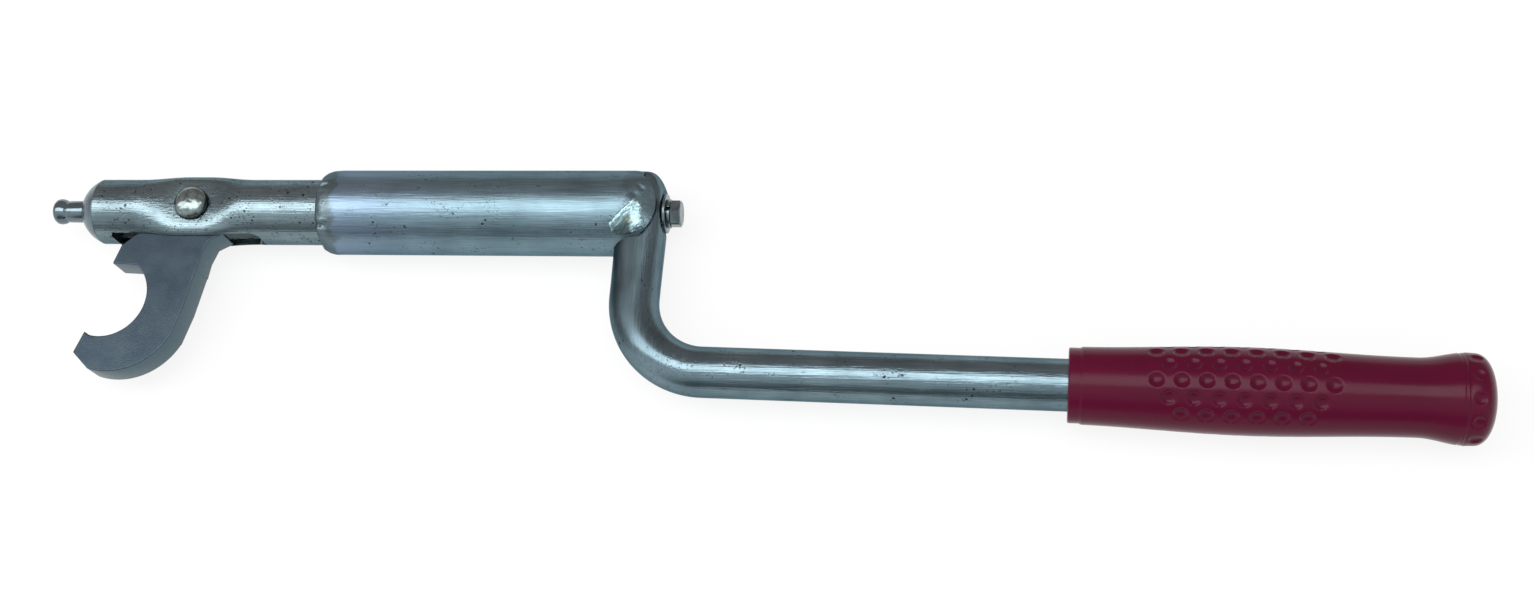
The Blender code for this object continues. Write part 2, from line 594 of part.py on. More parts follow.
def main():
    clear_scene()
    zinc = finish_material("zinc_plated_tube", (0.40, 0.44, 0.46), 0.34, 1.0)
    hook_steel = finish_material("zinc_plated_plate", (0.24, 0.28, 0.32), 0.45, 1.0)
    turned_steel = finish_material("turned_steel", (0.45, 0.45, 0.44), 0.3, 1.0)
    rivet_steel = finish_material("rivet_steel", (0.42, 0.45, 0.45), 0.3, 1.0)
    weld_metal = finish_material("weld_metal", (0.66, 0.68, 0.64), 0.35, 1.0)
    fastener = finish_material("bolt_steel", (0.27, 0.30, 0.31), 0.4, 1.0)
    bush_bronze = finish_material("bush_bronze", (0.48, 0.34, 0.16), 0.4, 1.0)
    grip_vinyl = finish_material("red_vinyl", (0.12, 0.008, 0.025), 0.42, 0.0)

    root = add_empty("tool_origin")
    nose = add_empty("nose_swivel_axis", root)
    hook = add_empty("hook_pivot_axis", nose)

    make_grip(root, grip_vinyl)
    make_crank_tube(root, zinc)
    crank_form = make_crank_form(root, zinc)
    make_barrel(root, zinc, crank_form)
    make_welds(root, weld_metal, crank_form)
    make_barrel_fittings(root, nose, bush_bronze, turned_steel)
    make_nose_tube(nose, zinc)
    make_nose_cap(nose, turned_steel)
    make_spigot(nose, turned_steel)
    make_pivot_rivet(nose, rivet_steel)
    make_washers(nose, fastener)
    make_bolt(nose, fastener)
    make_hook(hook, hook_steel)
    rest_on_origin(root)
    print("hook pivot at", tuple(round(value, 6) for value in hook.matrix_world.translation))


main()
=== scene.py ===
# %% [markdown]
# # A hook lever tool
# A plated steel lever: a hook pivots in its nose, the nose turns in a barrel, and a bent crank ends in a
# red grip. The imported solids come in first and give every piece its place. The cells below dress them:
# camera and lamp, finishes, then the pieces from the nose to the grip.

# %% Load the frame
from math import acos, asin, atan2, copysign, cos, degrees, exp, hypot, pi, radians, sin, sqrt, tan, tau

import bmesh
import bpy
from bmesh.types import BMEdge, BMVert
from mathutils import Matrix, Vector, noise


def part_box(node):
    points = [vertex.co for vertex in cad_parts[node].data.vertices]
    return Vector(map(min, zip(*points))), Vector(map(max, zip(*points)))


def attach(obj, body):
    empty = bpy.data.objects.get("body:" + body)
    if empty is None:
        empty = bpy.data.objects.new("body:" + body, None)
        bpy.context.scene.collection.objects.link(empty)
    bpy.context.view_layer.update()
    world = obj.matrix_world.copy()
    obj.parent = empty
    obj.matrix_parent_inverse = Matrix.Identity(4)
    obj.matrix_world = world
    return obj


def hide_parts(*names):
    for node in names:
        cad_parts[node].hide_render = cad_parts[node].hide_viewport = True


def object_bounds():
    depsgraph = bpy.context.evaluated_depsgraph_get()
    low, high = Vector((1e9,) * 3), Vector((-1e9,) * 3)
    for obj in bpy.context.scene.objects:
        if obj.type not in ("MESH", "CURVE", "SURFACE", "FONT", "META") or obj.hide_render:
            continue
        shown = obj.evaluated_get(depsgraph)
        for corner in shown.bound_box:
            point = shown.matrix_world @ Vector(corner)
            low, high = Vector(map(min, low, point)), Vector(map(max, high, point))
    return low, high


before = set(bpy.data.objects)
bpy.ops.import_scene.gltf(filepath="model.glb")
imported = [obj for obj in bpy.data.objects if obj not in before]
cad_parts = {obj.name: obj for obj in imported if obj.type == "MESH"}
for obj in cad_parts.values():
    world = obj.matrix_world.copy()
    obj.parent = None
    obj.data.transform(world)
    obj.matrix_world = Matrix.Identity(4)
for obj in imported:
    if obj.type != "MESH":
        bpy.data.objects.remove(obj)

cad_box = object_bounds()
print("solids", [[round(value, 4) for value in corner] for corner in cad_box])

# %% [markdown]
# The rivet of the hook crosses the barrel's axis, so its middle is the point to measure from. All the
# shapes below are drawn in millimetres round that point: X runs to the grip, Y up the picture and Z
# towards the eye. One matrix then takes a finished mesh to metres and to its place.

# %% The point to measure from
rivet_low, rivet_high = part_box("pivot_rivet")
PIVOT = (Vector(rivet_low) + Vector(rivet_high)) / 2
TO_FRAME = Matrix.Translation(PIVOT) @ Matrix.Scale(0.001, 4)
print("pivot", [round(value, 5) for value in PIVOT])

# %% [markdown]
# The picture was taken from above, a little from its lower edge and from the grip's side, and near enough
# to show some perspective. Three angles about the tool's middle lay the camera out.

# %% Camera
VIEW_TILT = radians(20.0)
VIEW_YAW = radians(8.0)
VIEW_ROLL = radians(0.55)
VIEW_DISTANCE = 0.7524
VIEW_TARGET = TO_FRAME @ Vector((242.39, -35.68, 0.0))


def new_object(name, data):
    item = bpy.data.objects.new(name, data)
    bpy.context.collection.objects.link(item)
    return item


back = Vector((sin(VIEW_YAW), -cos(VIEW_YAW) * sin(VIEW_TILT), cos(VIEW_YAW) * cos(VIEW_TILT)))
across = (Vector((1.0, 0.0, 0.0)) - back * back.x).normalized()
upward = back.cross(across)
turn = Matrix((across, upward, back)).transposed() @ Matrix.Rotation(VIEW_ROLL, 3, "Z")

camera_data = bpy.data.cameras.new("camera")
camera_data.sensor_width = 36.0
camera_data.lens = 44.59
camera = new_object("camera", camera_data)
camera.matrix_world = Matrix.Translation(VIEW_TARGET + back * VIEW_DISTANCE) @ turn.to_4x4()
bpy.context.scene.camera = camera
bpy.context.scene.view_settings.view_transform = "Standard"
print("camera", [round(value, 3) for value in camera.location])

# %% [markdown]
# Node trees are written with one small function that adds a node and sets its options. Each input takes a
# plain value, an output to link, or a node, which stands for the first output that it has in use. Colours
# are sRGB hex values, turned to linear light in one place.

# %% Nodes and colours
def fill(tree, node, inputs):
    for name, value in inputs.items():
        if isinstance(value, bpy.types.Node):
            value = next(output for output in value.outputs if output.enabled)
        if isinstance(value, bpy.types.NodeSocket):
            tree.links.new(value, node.inputs[name])
        else:
            node.inputs[name].default_value = value


def add(tree, kind, inputs, **settings):
    node = tree.nodes.new("ShaderNode" + kind)
    for name, value in settings.items():
        setattr(node, name, value)
    fill(tree, node, inputs)
    return node


def colour(code):
    parts = [int(code[i:i + 2], 16) / 255 for i in (1, 3, 5)]
    linear = [p / 12.92 if p <= 0.04045 else ((p + 0.055) / 1.055) ** 2.4 for p in parts]
    return (*linear, 1.0)


def per_mm(size):
    """The texture scale at which one feature is this many millimetres wide."""
    return 1000.0 / size


def new_finish(name):
    finish = bpy.data.materials.new(name)
    finish.use_nodes = True
    return finish, finish.node_tree


WHITE = (1.0, 1.0, 1.0, 1.0)
print("slate grey is", [round(value, 3) for value in colour("#6C7C81")])

# %% [markdown]
# One broad lamp hangs flat above the table and draws a long bright band on each tube. The room is a
# softer light: brightest on the near side, as from a pale wall, dull and a little warm behind the tool,
# so that the tubes' upper sides stay dark. To the eye it is a white backdrop.

# %% Lamp and room
lamp_data = bpy.data.lights.new("lamp", "AREA")
lamp_data.shape = "RECTANGLE"
lamp_data.size = 2.6
lamp_data.size_y = 0.6
lamp_data.energy = 16.8
new_object("lamp", lamp_data).location = (-0.7, 0.01, 1.2)

ROOM_LEVELS = ((0.0, 0.42), (0.02, 0.22), (0.06, 0.34), (0.12, 0.8), (0.28, 1.15), (0.45, 0.75),
               (0.67, 0.45), (1.0, 0.34))
WARM_FROM = 0.4
WARMTH = 0.4

world = bpy.data.worlds.new("room")
bpy.context.scene.world = world
world.use_nodes = True
tree = world.node_tree
tree.nodes.clear()
axes = add(tree, "SeparateXYZ", {"Vector": add(tree, "TexCoord", {}).outputs["Generated"]})
depth = add(tree, "MapRange", {"Value": axes.outputs["Y"], "From Min": -1.0, "From Max": 1.0})
level = add(tree, "ValToRGB", {"Fac": depth})
for place, strength in ROOM_LEVELS[1:-1]:
    level.color_ramp.elements.new(place)
for stop, (place, strength) in zip(level.color_ramp.elements, ROOM_LEVELS):
    stop.position = place
    warm = max(place - WARM_FROM, 0.0) * WARMTH
    stop.color = (strength * (0.97 + warm), strength, strength * (1.02 - 0.3 * warm), 1.0)
to_eye = add(tree, "LightPath", {}).outputs["Is Camera Ray"]
shown = add(tree, "Mix", {0: to_eye, 6: level, 7: WHITE}, data_type="RGBA")
sky = add(tree, "Background", {"Color": shown, "Strength": 1.0})
add(tree, "OutputWorld", {"Surface": sky})
print("lamp of", lamp_data.size, "by", lamp_data.size_y, "m, room of", len(ROOM_LEVELS), "levels")

# %% [markdown]
# The floor is a plain pale sheet just under the tool. Part of its white is given straight to the rays
# that show it, to the eye or in the metal, so that it stays white while the soft shadow still falls on it.

# %% Floor
FLOOR_HEIGHT = cad_box[0][2] - 0.0005
PAPER_GLOW = 0.85

# White paper is matt and almost colourless.
floor_finish, tree = new_finish("white_paper")
tree.nodes.clear()
paper = add(tree, "BsdfDiffuse", {"Color": colour("#F4F4F4")})
glow = add(tree, "Emission", {"Color": WHITE, "Strength": 1.0})
path = add(tree, "LightPath", {}).outputs
seen = add(tree, "Math", {0: path["Is Camera Ray"], 1: path["Is Glossy Ray"]}, operation="MAXIMUM")
seen = add(tree, "Math", {0: seen, 1: path["Is Transmission Ray"]}, operation="MAXIMUM")
share = add(tree, "Math", {0: seen, 1: PAPER_GLOW}, operation="MULTIPLY")
mixed = add(tree, "MixShader", {0: share, 1: paper, 2: glow})
add(tree, "OutputMaterial", {"Surface": mixed})

bm = bmesh.new()
bmesh.ops.create_grid(bm, x_segments=1, y_segments=1, size=4.0)
bmesh.ops.translate(bm, verts=bm.verts, vec=(0.0, 0.0, FLOOR_HEIGHT))
floor_mesh = bpy.data.meshes.new("floor")
bm.to_mesh(floor_mesh)
bm.free()
floor_mesh.materials.append(floor_finish)
floor = new_object("floor", floor_mesh)
print("floor at", round(FLOOR_HEIGHT, 4))

# %% [markdown]
# The tubes are drawn steel with a thin bright zinc plating. Drawing leaves fine lines along the tube,
# which streak its shine: a noise stretched along the tube gives them. Real ones are too fine to show, so
# they are drawn coarser, 0.7 mm wide. A bent tube takes its lines from either arm.

# %% Drawing lines
LINE_WIDTH = 0.7
LINE_SQUEEZE = 0.04
CORNER_BLEND = 0.02


def drawn_lines(tree, place, squeeze):
    along = add(tree, "Mapping", {"Vector": place, "Scale": squeeze})
    return add(tree, "TexNoise", {"Vector": along, "Scale": per_mm(LINE_WIDTH), "Detail": 3.0,
                                  "Roughness": 0.6})


def tube_lines(tree, place, web_x):
    lines = drawn_lines(tree, place, (LINE_SQUEEZE, 1.0, 1.0))
    if web_x is None:
        return lines
    up = drawn_lines(tree, place, (1.0, LINE_SQUEEZE, 1.0))
    along = add(tree, "SeparateXYZ", {"Vector": place}).outputs["X"]
    arm = add(tree, "MapRange", {"Value": along, "From Min": web_x, "From Max": web_x + CORNER_BLEND})
    return add(tree, "Mix", {0: arm, 2: up, 3: lines})


print("lines", LINE_WIDTH, "mm wide and", LINE_WIDTH / LINE_SQUEEZE, "mm long")

# %% [markdown]
# Zinc clouds a little from spot to spot: a wide noise mixes two tones. Past a line across a tube, which a
# noise makes ragged, another tone is mixed in: stains, and at the barrel's rear painted shade.

# %% Clouds, stains and painted shade
CLOUD_SIZE = 22.0
STAIN_EDGE_SIZE = 5.0
STAIN_WANDER = 0.012


def cloudy_zinc(tree, place, lines, light, dark):
    cloud = add(tree, "TexNoise", {"Vector": place, "Scale": per_mm(CLOUD_SIZE), "Detail": 4.0,
                                   "Roughness": 0.55})
    tone = add(tree, "MapRange", {"Value": cloud, "From Min": 0.32, "From Max": 0.68})
    ground = add(tree, "Mix", {0: tone, 6: colour(dark), 7: colour(light)}, data_type="RGBA")
    drawn = add(tree, "MapRange", {"Value": lines, "From Min": 0.3, "From Max": 0.7, "To Min": 0.82,
                                   "To Max": 1.12})
    return add(tree, "Mix", {0: 1.0, 6: ground, 7: drawn}, data_type="RGBA", blend_type="MULTIPLY")


def stain_and_shade_band(tree, place, ground, edge_x, tone, share, fade):
    """Mix a tone in past a ragged line across the tube: a negative fade looks to the nose."""
    along = add(tree, "SeparateXYZ", {"Vector": place}).outputs["X"]
    edge = add(tree, "TexNoise", {"Vector": place, "Scale": per_mm(STAIN_EDGE_SIZE), "Detail": 3.0})
    reach = add(tree, "Math", {0: edge, 1: STAIN_WANDER, 2: along}, operation="MULTIPLY_ADD")
    middle = edge_x + STAIN_WANDER / 2
    mask = add(tree, "MapRange", {"Value": reach, "From Min": middle - fade, "From Max": middle + fade,
                                  "To Max": share})
    return add(tree, "Mix", {0: mask, 6: ground, 7: colour(tone)}, data_type="RGBA")


print("clouds about", CLOUD_SIZE, "mm wide")

# %% [markdown]
# Handling wears small dark pits and specks into the plating. Pits are scattered cells, made ragged by a
# noise. Specks are a fine noise. Both show only where a wider noise says that the tube is worn.

# %% Pits and specks
PIT_SPACING = 3.6
PIT_RAG_SIZE = 1.5
PIT_SHAKE = 0.0012
SPECK_SIZE = 1.0


def pits_and_specks(tree, place, worn, share):
    ragged = add(tree, "TexNoise", {"Vector": place, "Scale": per_mm(PIT_RAG_SIZE), "Detail": 2.0})
    shaken = add(tree, "Mix", {0: PIT_SHAKE, 4: place, 5: ragged.outputs["Color"]}, data_type="VECTOR")
    cells = add(tree, "TexVoronoi", {"Vector": shaken, "Scale": per_mm(PIT_SPACING)})
    spot = add(tree, "MapRange", {"Value": cells.outputs["Distance"], "From Min": 0.1, "From Max": 0.2,
                                  "To Min": 1.0, "To Max": 0.0})
    where = add(tree, "MapRange", {"Value": worn, "From Min": 0.62 - share, "From Max": 0.66 - share})
    pits = add(tree, "Math", {0: spot, 1: where}, operation="MULTIPLY")
    fine = add(tree, "TexNoise", {"Vector": place, "Scale": per_mm(SPECK_SIZE), "Detail": 2.0})
    specks = add(tree, "MapRange", {"Value": fine, "From Min": 0.58, "From Max": 0.7, "To Max": 0.75})
    patch = add(tree, "MapRange", {"Value": worn, "From Min": 0.56 - share, "From Max": 0.64 - share})
    specks = add(tree, "Math", {0: specks, 1: patch}, operation="MULTIPLY")
    return add(tree, "Math", {0: pits, 1: specks}, operation="MAXIMUM")


print("pits at most every", PIT_SPACING, "mm")

# %% [markdown]
# The finish puts these together. A mark on the mesh paints shade into the plating, in the pits' dark tone,
# and dulls it. A bore mark paints the tube's inside pale and not metallic, as light in its shade. The
# roughness follows the lines, and a low bump carries lines, pits and slow waves.

# %% Plated tube
BORE_LIGHT_TONE = "#D0DCDE"
SHEEN_TONE = "#A9B4B8"
WEAR_SIZE = 9.0
SHADE_MARK_DULLING = 0.3
PIT_DEPTH = -0.6
RELIEF = 0.0001


def plated_tube(name, light, dark, pit, rough, pit_share, wave=1.2, web_x=None, stain_and_shade_bands=(), paint_bore_light=False):
    finish, tree = new_finish(name)
    shader = tree.nodes["Principled BSDF"]
    shader.inputs["Metallic"].default_value = 1.0
    place = add(tree, "TexCoord", {}).outputs["Object"]
    lines = tube_lines(tree, place, web_x)
    tone = cloudy_zinc(tree, place, lines, light, dark)
    for edge_x, band_tone, share, fade in stain_and_shade_bands:
        tone = stain_and_shade_band(tree, place, tone, edge_x, band_tone, share, fade)
    worn = add(tree, "TexNoise", {"Vector": place, "Scale": per_mm(WEAR_SIZE), "Detail": 2.0})
    # A mesh mark paints shade into the plating in the pits' dark tone, and also dulls it.
    shade_and_dulling = add(tree, "Attribute", {}, attribute_name="shade_and_dulling").outputs["Fac"]
    pits = pits_and_specks(tree, place, worn, pit_share)
    pits = add(tree, "Math", {0: pits, 1: shade_and_dulling}, operation="MAXIMUM")
    tone = add(tree, "Mix", {0: pits, 6: tone, 7: colour(pit)}, data_type="RGBA")
    # Bore faces get a pale, not metallic tone: painted light inside the shaded tube.
    if paint_bore_light:
        bore = add(tree, "Attribute", {}, attribute_name="bore").outputs["Fac"]
        tone = add(tree, "Mix", {0: bore, 6: tone, 7: colour(BORE_LIGHT_TONE)}, data_type="RGBA")
        plated = add(tree, "Math", {0: 1.0, 1: bore}, operation="SUBTRACT")
        fill(tree, shader, {"Metallic": plated})
    gloss = add(tree, "MapRange", {"Value": lines, "From Min": 0.25, "From Max": 0.75,
                                   "To Min": rough - 0.04, "To Max": rough + 0.06})
    gloss = add(tree, "Math", {0: shade_and_dulling, 1: SHADE_MARK_DULLING, 2: gloss}, operation="MULTIPLY_ADD")
    height = add(tree, "Math", {0: pits, 1: PIT_DEPTH, 2: lines}, operation="MULTIPLY_ADD")
    height = add(tree, "Math", {0: worn, 1: wave, 2: height}, operation="MULTIPLY_ADD")
    bump = add(tree, "Bump", {"Height": height, "Strength": 1.0, "Distance": RELIEF})
    fill(tree, shader, {"Base Color": tone, "Roughness": gloss, "Normal": bump,
                        "Specular Tint": colour(SHEEN_TONE)})
    return finish


print("relief", RELIEF * 1000, "mm")

# %% [markdown]
# Three tubes wear it. The nose is the most handled: bright and much pitted. The barrel is duller: bluish
# behind its mouth, grey at the lip, and painted darker at its rear as shade on the ears by the weld. The
# crank is darker and smoother.

# %% Plated tube finishes
nose_plating = plated_tube("zinc_plated_tube_nose", "#81949A", "#6A7A80", "#33383A", 0.17, 0.13,
                           paint_bore_light=True)
# The last band paints shade on the barrel's rear, over the ears by the weld.
barrel_plating = plated_tube("zinc_plated_tube_barrel", "#7D95A0", "#698089", "#2E3538", 0.31, 0.04,
                             stain_and_shade_bands=((PIVOT.x + 0.09, "#8192AC", 0.5, -0.025),
                                     (PIVOT.x + 0.0635, "#5F6C69", 0.7, -0.001),
                                     (PIVOT.x + 0.184, "#5F6F76", 0.6, 0.001)))
crank_plating = plated_tube("zinc_plated_tube_crank", "#768A92", "#61747C", "#23292C", 0.17, 0.03, wave=0.4,
                            web_x=PIVOT.x + 0.205)
print("plated tubes", nose_plating.name, barrel_plating.name, crank_plating.name)

# %% [markdown]
# The turned pieces, the bolt, the rivet, the hook and the weld share one recipe: two tones in clouds, and
# a fine grain that makes the shine uneven and stands a little proud. Marks on a mesh add tones, such as
# the painted shade on the rivet's rim and the painted light on the hook's edge. Real grain is finer than a
# picture shows, so none is drawn under 0.4 mm.

# %% Worked metal
ROUGH_SPREAD = 0.07


def worked_metal(name, light, dark, cloud_mm, grain_mm, rough, grain_depth, marks=()):
    finish, tree = new_finish(name)
    place = add(tree, "TexCoord", {}).outputs["Object"]
    cloud = add(tree, "TexNoise", {"Vector": place, "Scale": per_mm(cloud_mm), "Detail": 4.0,
                                   "Roughness": 0.6})
    cloud = add(tree, "MapRange", {"Value": cloud, "From Min": 0.3, "From Max": 0.7})
    tone = add(tree, "Mix", {0: cloud, 6: colour(dark), 7: colour(light)}, data_type="RGBA")
    for mark, mark_tone in marks:
        share = add(tree, "Attribute", {}, attribute_name=mark).outputs["Fac"]
        tone = add(tree, "Mix", {0: share, 6: tone, 7: colour(mark_tone)}, data_type="RGBA")
    grain = add(tree, "TexNoise", {"Vector": place, "Scale": per_mm(grain_mm), "Detail": 2.0})
    gloss = add(tree, "MapRange", {"Value": grain, "From Min": 0.3, "From Max": 0.7,
                                   "To Min": rough - ROUGH_SPREAD, "To Max": rough + ROUGH_SPREAD})
    bump = add(tree, "Bump", {"Height": grain, "Strength": 0.5, "Distance": grain_depth})
    fill(tree, tree.nodes["Principled BSDF"], {"Base Color": tone, "Roughness": gloss, "Normal": bump,
                                               "Metallic": 1.0})
    return finish


print("roughness varies by", ROUGH_SPREAD)

# %% [markdown]
# Each metal gets the tones and the grain of how it was made. The weld is the one with colours: it froze
# silver, is olive where it ran thin, and has a brown heat spot.

# %% Worked steel finishes
# A turned and plated pin: the smoothest, with a crisp shine.
spigot_steel = worked_metal("zinc_plated_pin_steel", "#7E8D94", "#626F76", 9.0, 0.5, 0.12, 0.00003)
# Turned and plated, then tumbled: a soft, frosted shine.
turned_steel = worked_metal("zinc_plated_turned_steel", "#7C8B93", "#64727A", 9.0, 0.5, 0.3, 0.00004)
# A bought bolt: plated in a drum, so a little mottled.
bolt_steel = worked_metal("zinc_plated_bolt_steel", "#7E8D91", "#58666A", 5.0, 0.6, 0.26, 0.00005)
# Closed with a hammer: bright and blotched, with painted shade round the dome's rim where it meets the
# tube.
rivet_steel = worked_metal("hammered_rivet_steel", "#97A5A5", "#66726F", 2.2, 1.1, 0.2, 0.0001,
                           marks=(("rim", "#363D3D"),))
# Cut from plate and left matt: a wide, dull shine, and painted light on the faces of its edge.
hook_steel = worked_metal("matt_cut_plate_steel", "#45525A", "#394550", 9.0, 0.6, 0.38, 0.00012,
                          marks=(("painted_edge_light", "#52656D"),))
# Frozen weld metal: rough and silvery.
weld_metal = worked_metal("weld_bead_steel", "#B8D6DC", "#86A4AA", 1.2, 0.6, 0.42, 0.0003,
                          marks=(("olive", "#54676A"), ("scorch", "#77714E")))
# Pressed from bronze powder and sintered: brown and dull.
bush_bronze = worked_metal("sintered_bush_bronze", "#9C7A4A", "#7E6038", 4.0, 0.4, 0.38, 0.00004)
print("worked metals", [item.name for item in (turned_steel, bolt_steel, rivet_steel, hook_steel)])

# %% [markdown]
# The grip is a moulded sleeve of soft red PVC. It is dyed through, so its colour barely changes, and it
# has a dull gloss with faint smears from hands. The mould's skin is drawn coarser than it is, at 0.8 mm.

# %% Vinyl finish
red_vinyl, tree = new_finish("moulded_red_pvc")
place = add(tree, "TexCoord", {}).outputs["Object"]
along = add(tree, "Mapping", {"Vector": place, "Scale": (0.3, 1.0, 1.0)})
smear = add(tree, "TexNoise", {"Vector": along, "Scale": per_mm(12.0), "Detail": 5.0})
tint = add(tree, "Mix", {0: smear, 6: colour("#470521"), 7: colour("#550828")}, data_type="RGBA")
gloss = add(tree, "MapRange", {"Value": smear, "From Min": 0.3, "From Max": 0.7, "To Min": 0.18,
                               "To Max": 0.27})
skin = add(tree, "TexNoise", {"Vector": place, "Scale": per_mm(0.8), "Detail": 2.0})
bump = add(tree, "Bump", {"Height": skin, "Strength": 0.25, "Distance": 0.00005})
fill(tree, tree.nodes["Principled BSDF"], {"Base Color": tint, "Roughness": gloss, "Normal": bump,
                                           "IOR": 1.53, "Specular IOR Level": 0.13})
print("vinyl", red_vinyl.name)

# %% [markdown]
# Most pieces are turned, so one helper spins a half profile about the tool's axis. A second rounds every
# corner sharper than a given angle, as no real edge is sharp. A third takes the mesh to its place, shades
# it, and hands it to the frame.

# %% Helpers for turned pieces
def turned(profile, steps, closed=False):
    bm = bmesh.new()
    points = [bm.verts.new((x, r, 0.0)) for x, r in profile]
    ends = points[1:] + points[:1] if closed else points[1:]
    lines = [bm.edges.new(pair) for pair in zip(points, ends)]
    bmesh.ops.spin(bm, geom=points + lines, axis=(1, 0, 0), angle=tau, steps=steps, use_merge=True)
    bmesh.ops.remove_doubles(bm, verts=bm.verts, dist=0.0005)
    bmesh.ops.recalc_face_normals(bm, faces=bm.faces)
    return bm


def soften(bm, width, least=40.0, segments=3):
    sharp = [edge for edge in bm.edges if edge.calc_face_angle(0.0) > radians(least)]
    bmesh.ops.bevel(bm, geom=sharp, offset=width, offset_type="OFFSET", affect="EDGES", segments=segments,
                    profile=0.5, material=-1, clamp_overlap=True)


FLAT_FROM = 12    # a face with more corners than this is a flat cap


def hand_over(bm, name, body, finish, node, sharp=35.0):
    bmesh.ops.transform(bm, matrix=TO_FRAME, verts=bm.verts)
    mesh = bpy.data.meshes.new(name)
    bm.to_mesh(mesh)
    bm.free()
    mesh.shade_smooth()
    mesh.set_sharp_from_angle(angle=radians(sharp))
    for polygon in mesh.polygons:
        polygon.use_smooth = polygon.loop_total <= FLAT_FROM
    mesh.materials.append(finish)
    piece = new_object(name, mesh)
    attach(piece, body)
    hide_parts(node)
    print(name, "has", len(mesh.polygons), "faces")


print("caps of more than", FLAT_FROM, "corners stay flat")

# %% [markdown]
# The spigot is the small pin at the tip, turned with a rounded collar and a groove behind it. The cap is
# the blunt cone that closes the nose tube. Both are half profiles spun about the axis.

# %% Spigot and cap
NOSE_RADIUS = 13.6
NOSE_FRONT = -41.6
CAP_SHOULDER = NOSE_FRONT - 0.3
CAP_LENGTH = 8.4
CAP_FRONT = CAP_SHOULDER - CAP_LENGTH
SPIGOT_TIP = CAP_FRONT - 13.9
SPIGOT_COLLAR = ((0.0, 0.0), (0.0, 3.6), (0.5, 4.5), (1.5, 5.25), (2.7, 5.45), (4.0, 5.2), (5.1, 4.7),
                 (5.6, 4.3), (6.2, 4.45), (6.8, 4.62))

spigot_profile = [(SPIGOT_TIP + x, r) for x, r in SPIGOT_COLLAR]
spigot_profile += [(CAP_FRONT - 0.4, 4.65), (CAP_FRONT - 0.4, 4.0), (CAP_FRONT + 8.0, 4.0),
                   (CAP_FRONT + 8.0, 0.0)]
spigot = turned(spigot_profile, 64)
soften(spigot, 0.15, 55.0)
hand_over(spigot, "spigot_pin", "nose", spigot_steel, "spigot")

CAP_SLOPE = 0.31
CAP_FRONT_SHARE = 0.4
CAP_STEPS = 24
cap_profile = [(NOSE_FRONT + 5.0, 4.3), (NOSE_FRONT + 5.0, 10.6), (NOSE_FRONT + 0.05, 10.6),
               (NOSE_FRONT + 0.05, 13.45), (CAP_SHOULDER, NOSE_RADIUS)]
for i in range(1, CAP_STEPS + 1):
    part = i / CAP_STEPS
    fall = CAP_SLOPE * part + (1 - CAP_FRONT_SHARE - CAP_SLOPE) * part ** 3
    cap_profile.append((CAP_SHOULDER - CAP_LENGTH * part, NOSE_RADIUS * (1 - fall)))
cap_profile += [(CAP_FRONT, 4.9), (CAP_FRONT + 0.6, 4.3)]
cap = turned(cap_profile, 128, closed=True)
soften(cap, 0.3, 55.0)
hand_over(cap, "nose_cap_dome", "nose", turned_steel, "nose_cap")

# %% [markdown]
# The nose is a length of tube pressed flat in the middle, where the hook's rivet passes through. A round
# skin is spun with close rings as far as the press reached, and its points are then pressed in: a soft
# limit on their distance from the middle leaves no crease.

# %% Pressed nose
NOSE_REAR = 169.3
CLOSE_RINGS = 110
CLOSE_RINGS_END = 60.0
PINCH_HALF_LENGTH = 25.0
PINCH_FLAT = 4.0
PINCH_OUTER = 9.4
PINCH_BULGE = 1.3
PINCH_SHARPNESS = 6.0


def spaced(start, end, count):
    return [start + (end - start) * i / count for i in range(count + 1)]


def off_axis(point):
    return hypot(point.y, point.z)


def soft_limit(value, limit, sharpness):
    ratio = abs(value) / limit
    return copysign(limit * ratio / (1 + ratio ** sharpness) ** (1 / sharpness), value)


def press_in(point):
    past_flat = max(abs(point.x) - PINCH_FLAT, 0.0)
    press = 0.5 + 0.5 * cos(pi * min(past_flat / (PINCH_HALF_LENGTH - PINCH_FLAT), 1.0))
    point.z += (soft_limit(point.z, PINCH_OUTER, PINCH_SHARPNESS) - point.z) * press
    point.y *= 1 + PINCH_BULGE / NOSE_RADIUS * press


rings = spaced(NOSE_FRONT, CLOSE_RINGS_END, CLOSE_RINGS) + [90.0, 130.0, NOSE_REAR]
nose = turned([(x, NOSE_RADIUS) for x in rings], 160)
for vert in nose.verts:
    press_in(vert.co)
print("nose skin has", len(nose.faces), "faces")

# %% [markdown]
# On its lower side the nose is slotted for the hook, with rounded corners at the rear. Planes cut the
# slot's outline into the skin and the faces inside it go. Only then is the wall thickened inwards, so
# that the slot's sides get faces too.

# %% Slot of the nose
NOSE_WALL = 2.6
SLOT_FRONT = -34.1
SLOT_REAR = 30.4
SLOT_HALF = 6.4
SLOT_CORNER = 5.0
SLOT_EDGE = 0.05

slot_sides = [((1, 0, 0), SLOT_FRONT), ((1, 0, 0), SLOT_REAR), ((0, 0, 1), SLOT_HALF),
              ((0, 0, 1), -SLOT_HALF)]
for angle in (radians(20), radians(45), radians(70)):
    cosine, sine = cos(angle), sin(angle)
    for side in (1, -1):
        reach = (SLOT_REAR - SLOT_CORNER) * cosine + (SLOT_HALF - SLOT_CORNER) * sine + SLOT_CORNER
        slot_sides.append(((cosine, 0, side * sine), reach))
for normal, reach in slot_sides:
    low = [face for face in nose.faces if face.calc_center_median().y < 0]
    rest = {item for face in low for item in (*face.edges, *face.verts)}
    bmesh.ops.bisect_plane(nose, geom=low + list(rest), plane_co=Vector(normal) * reach, plane_no=normal,
                           dist=0.0001)
slot_faces = []
for face in nose.faces:
    middle = face.calc_center_median()
    inside = all(Vector(normal).dot(middle) < reach for normal, reach in slot_sides[4:])
    if inside and middle.y < 0 and abs(middle.z) < SLOT_HALF and SLOT_FRONT < middle.x < SLOT_REAR:
        slot_faces.append(face)
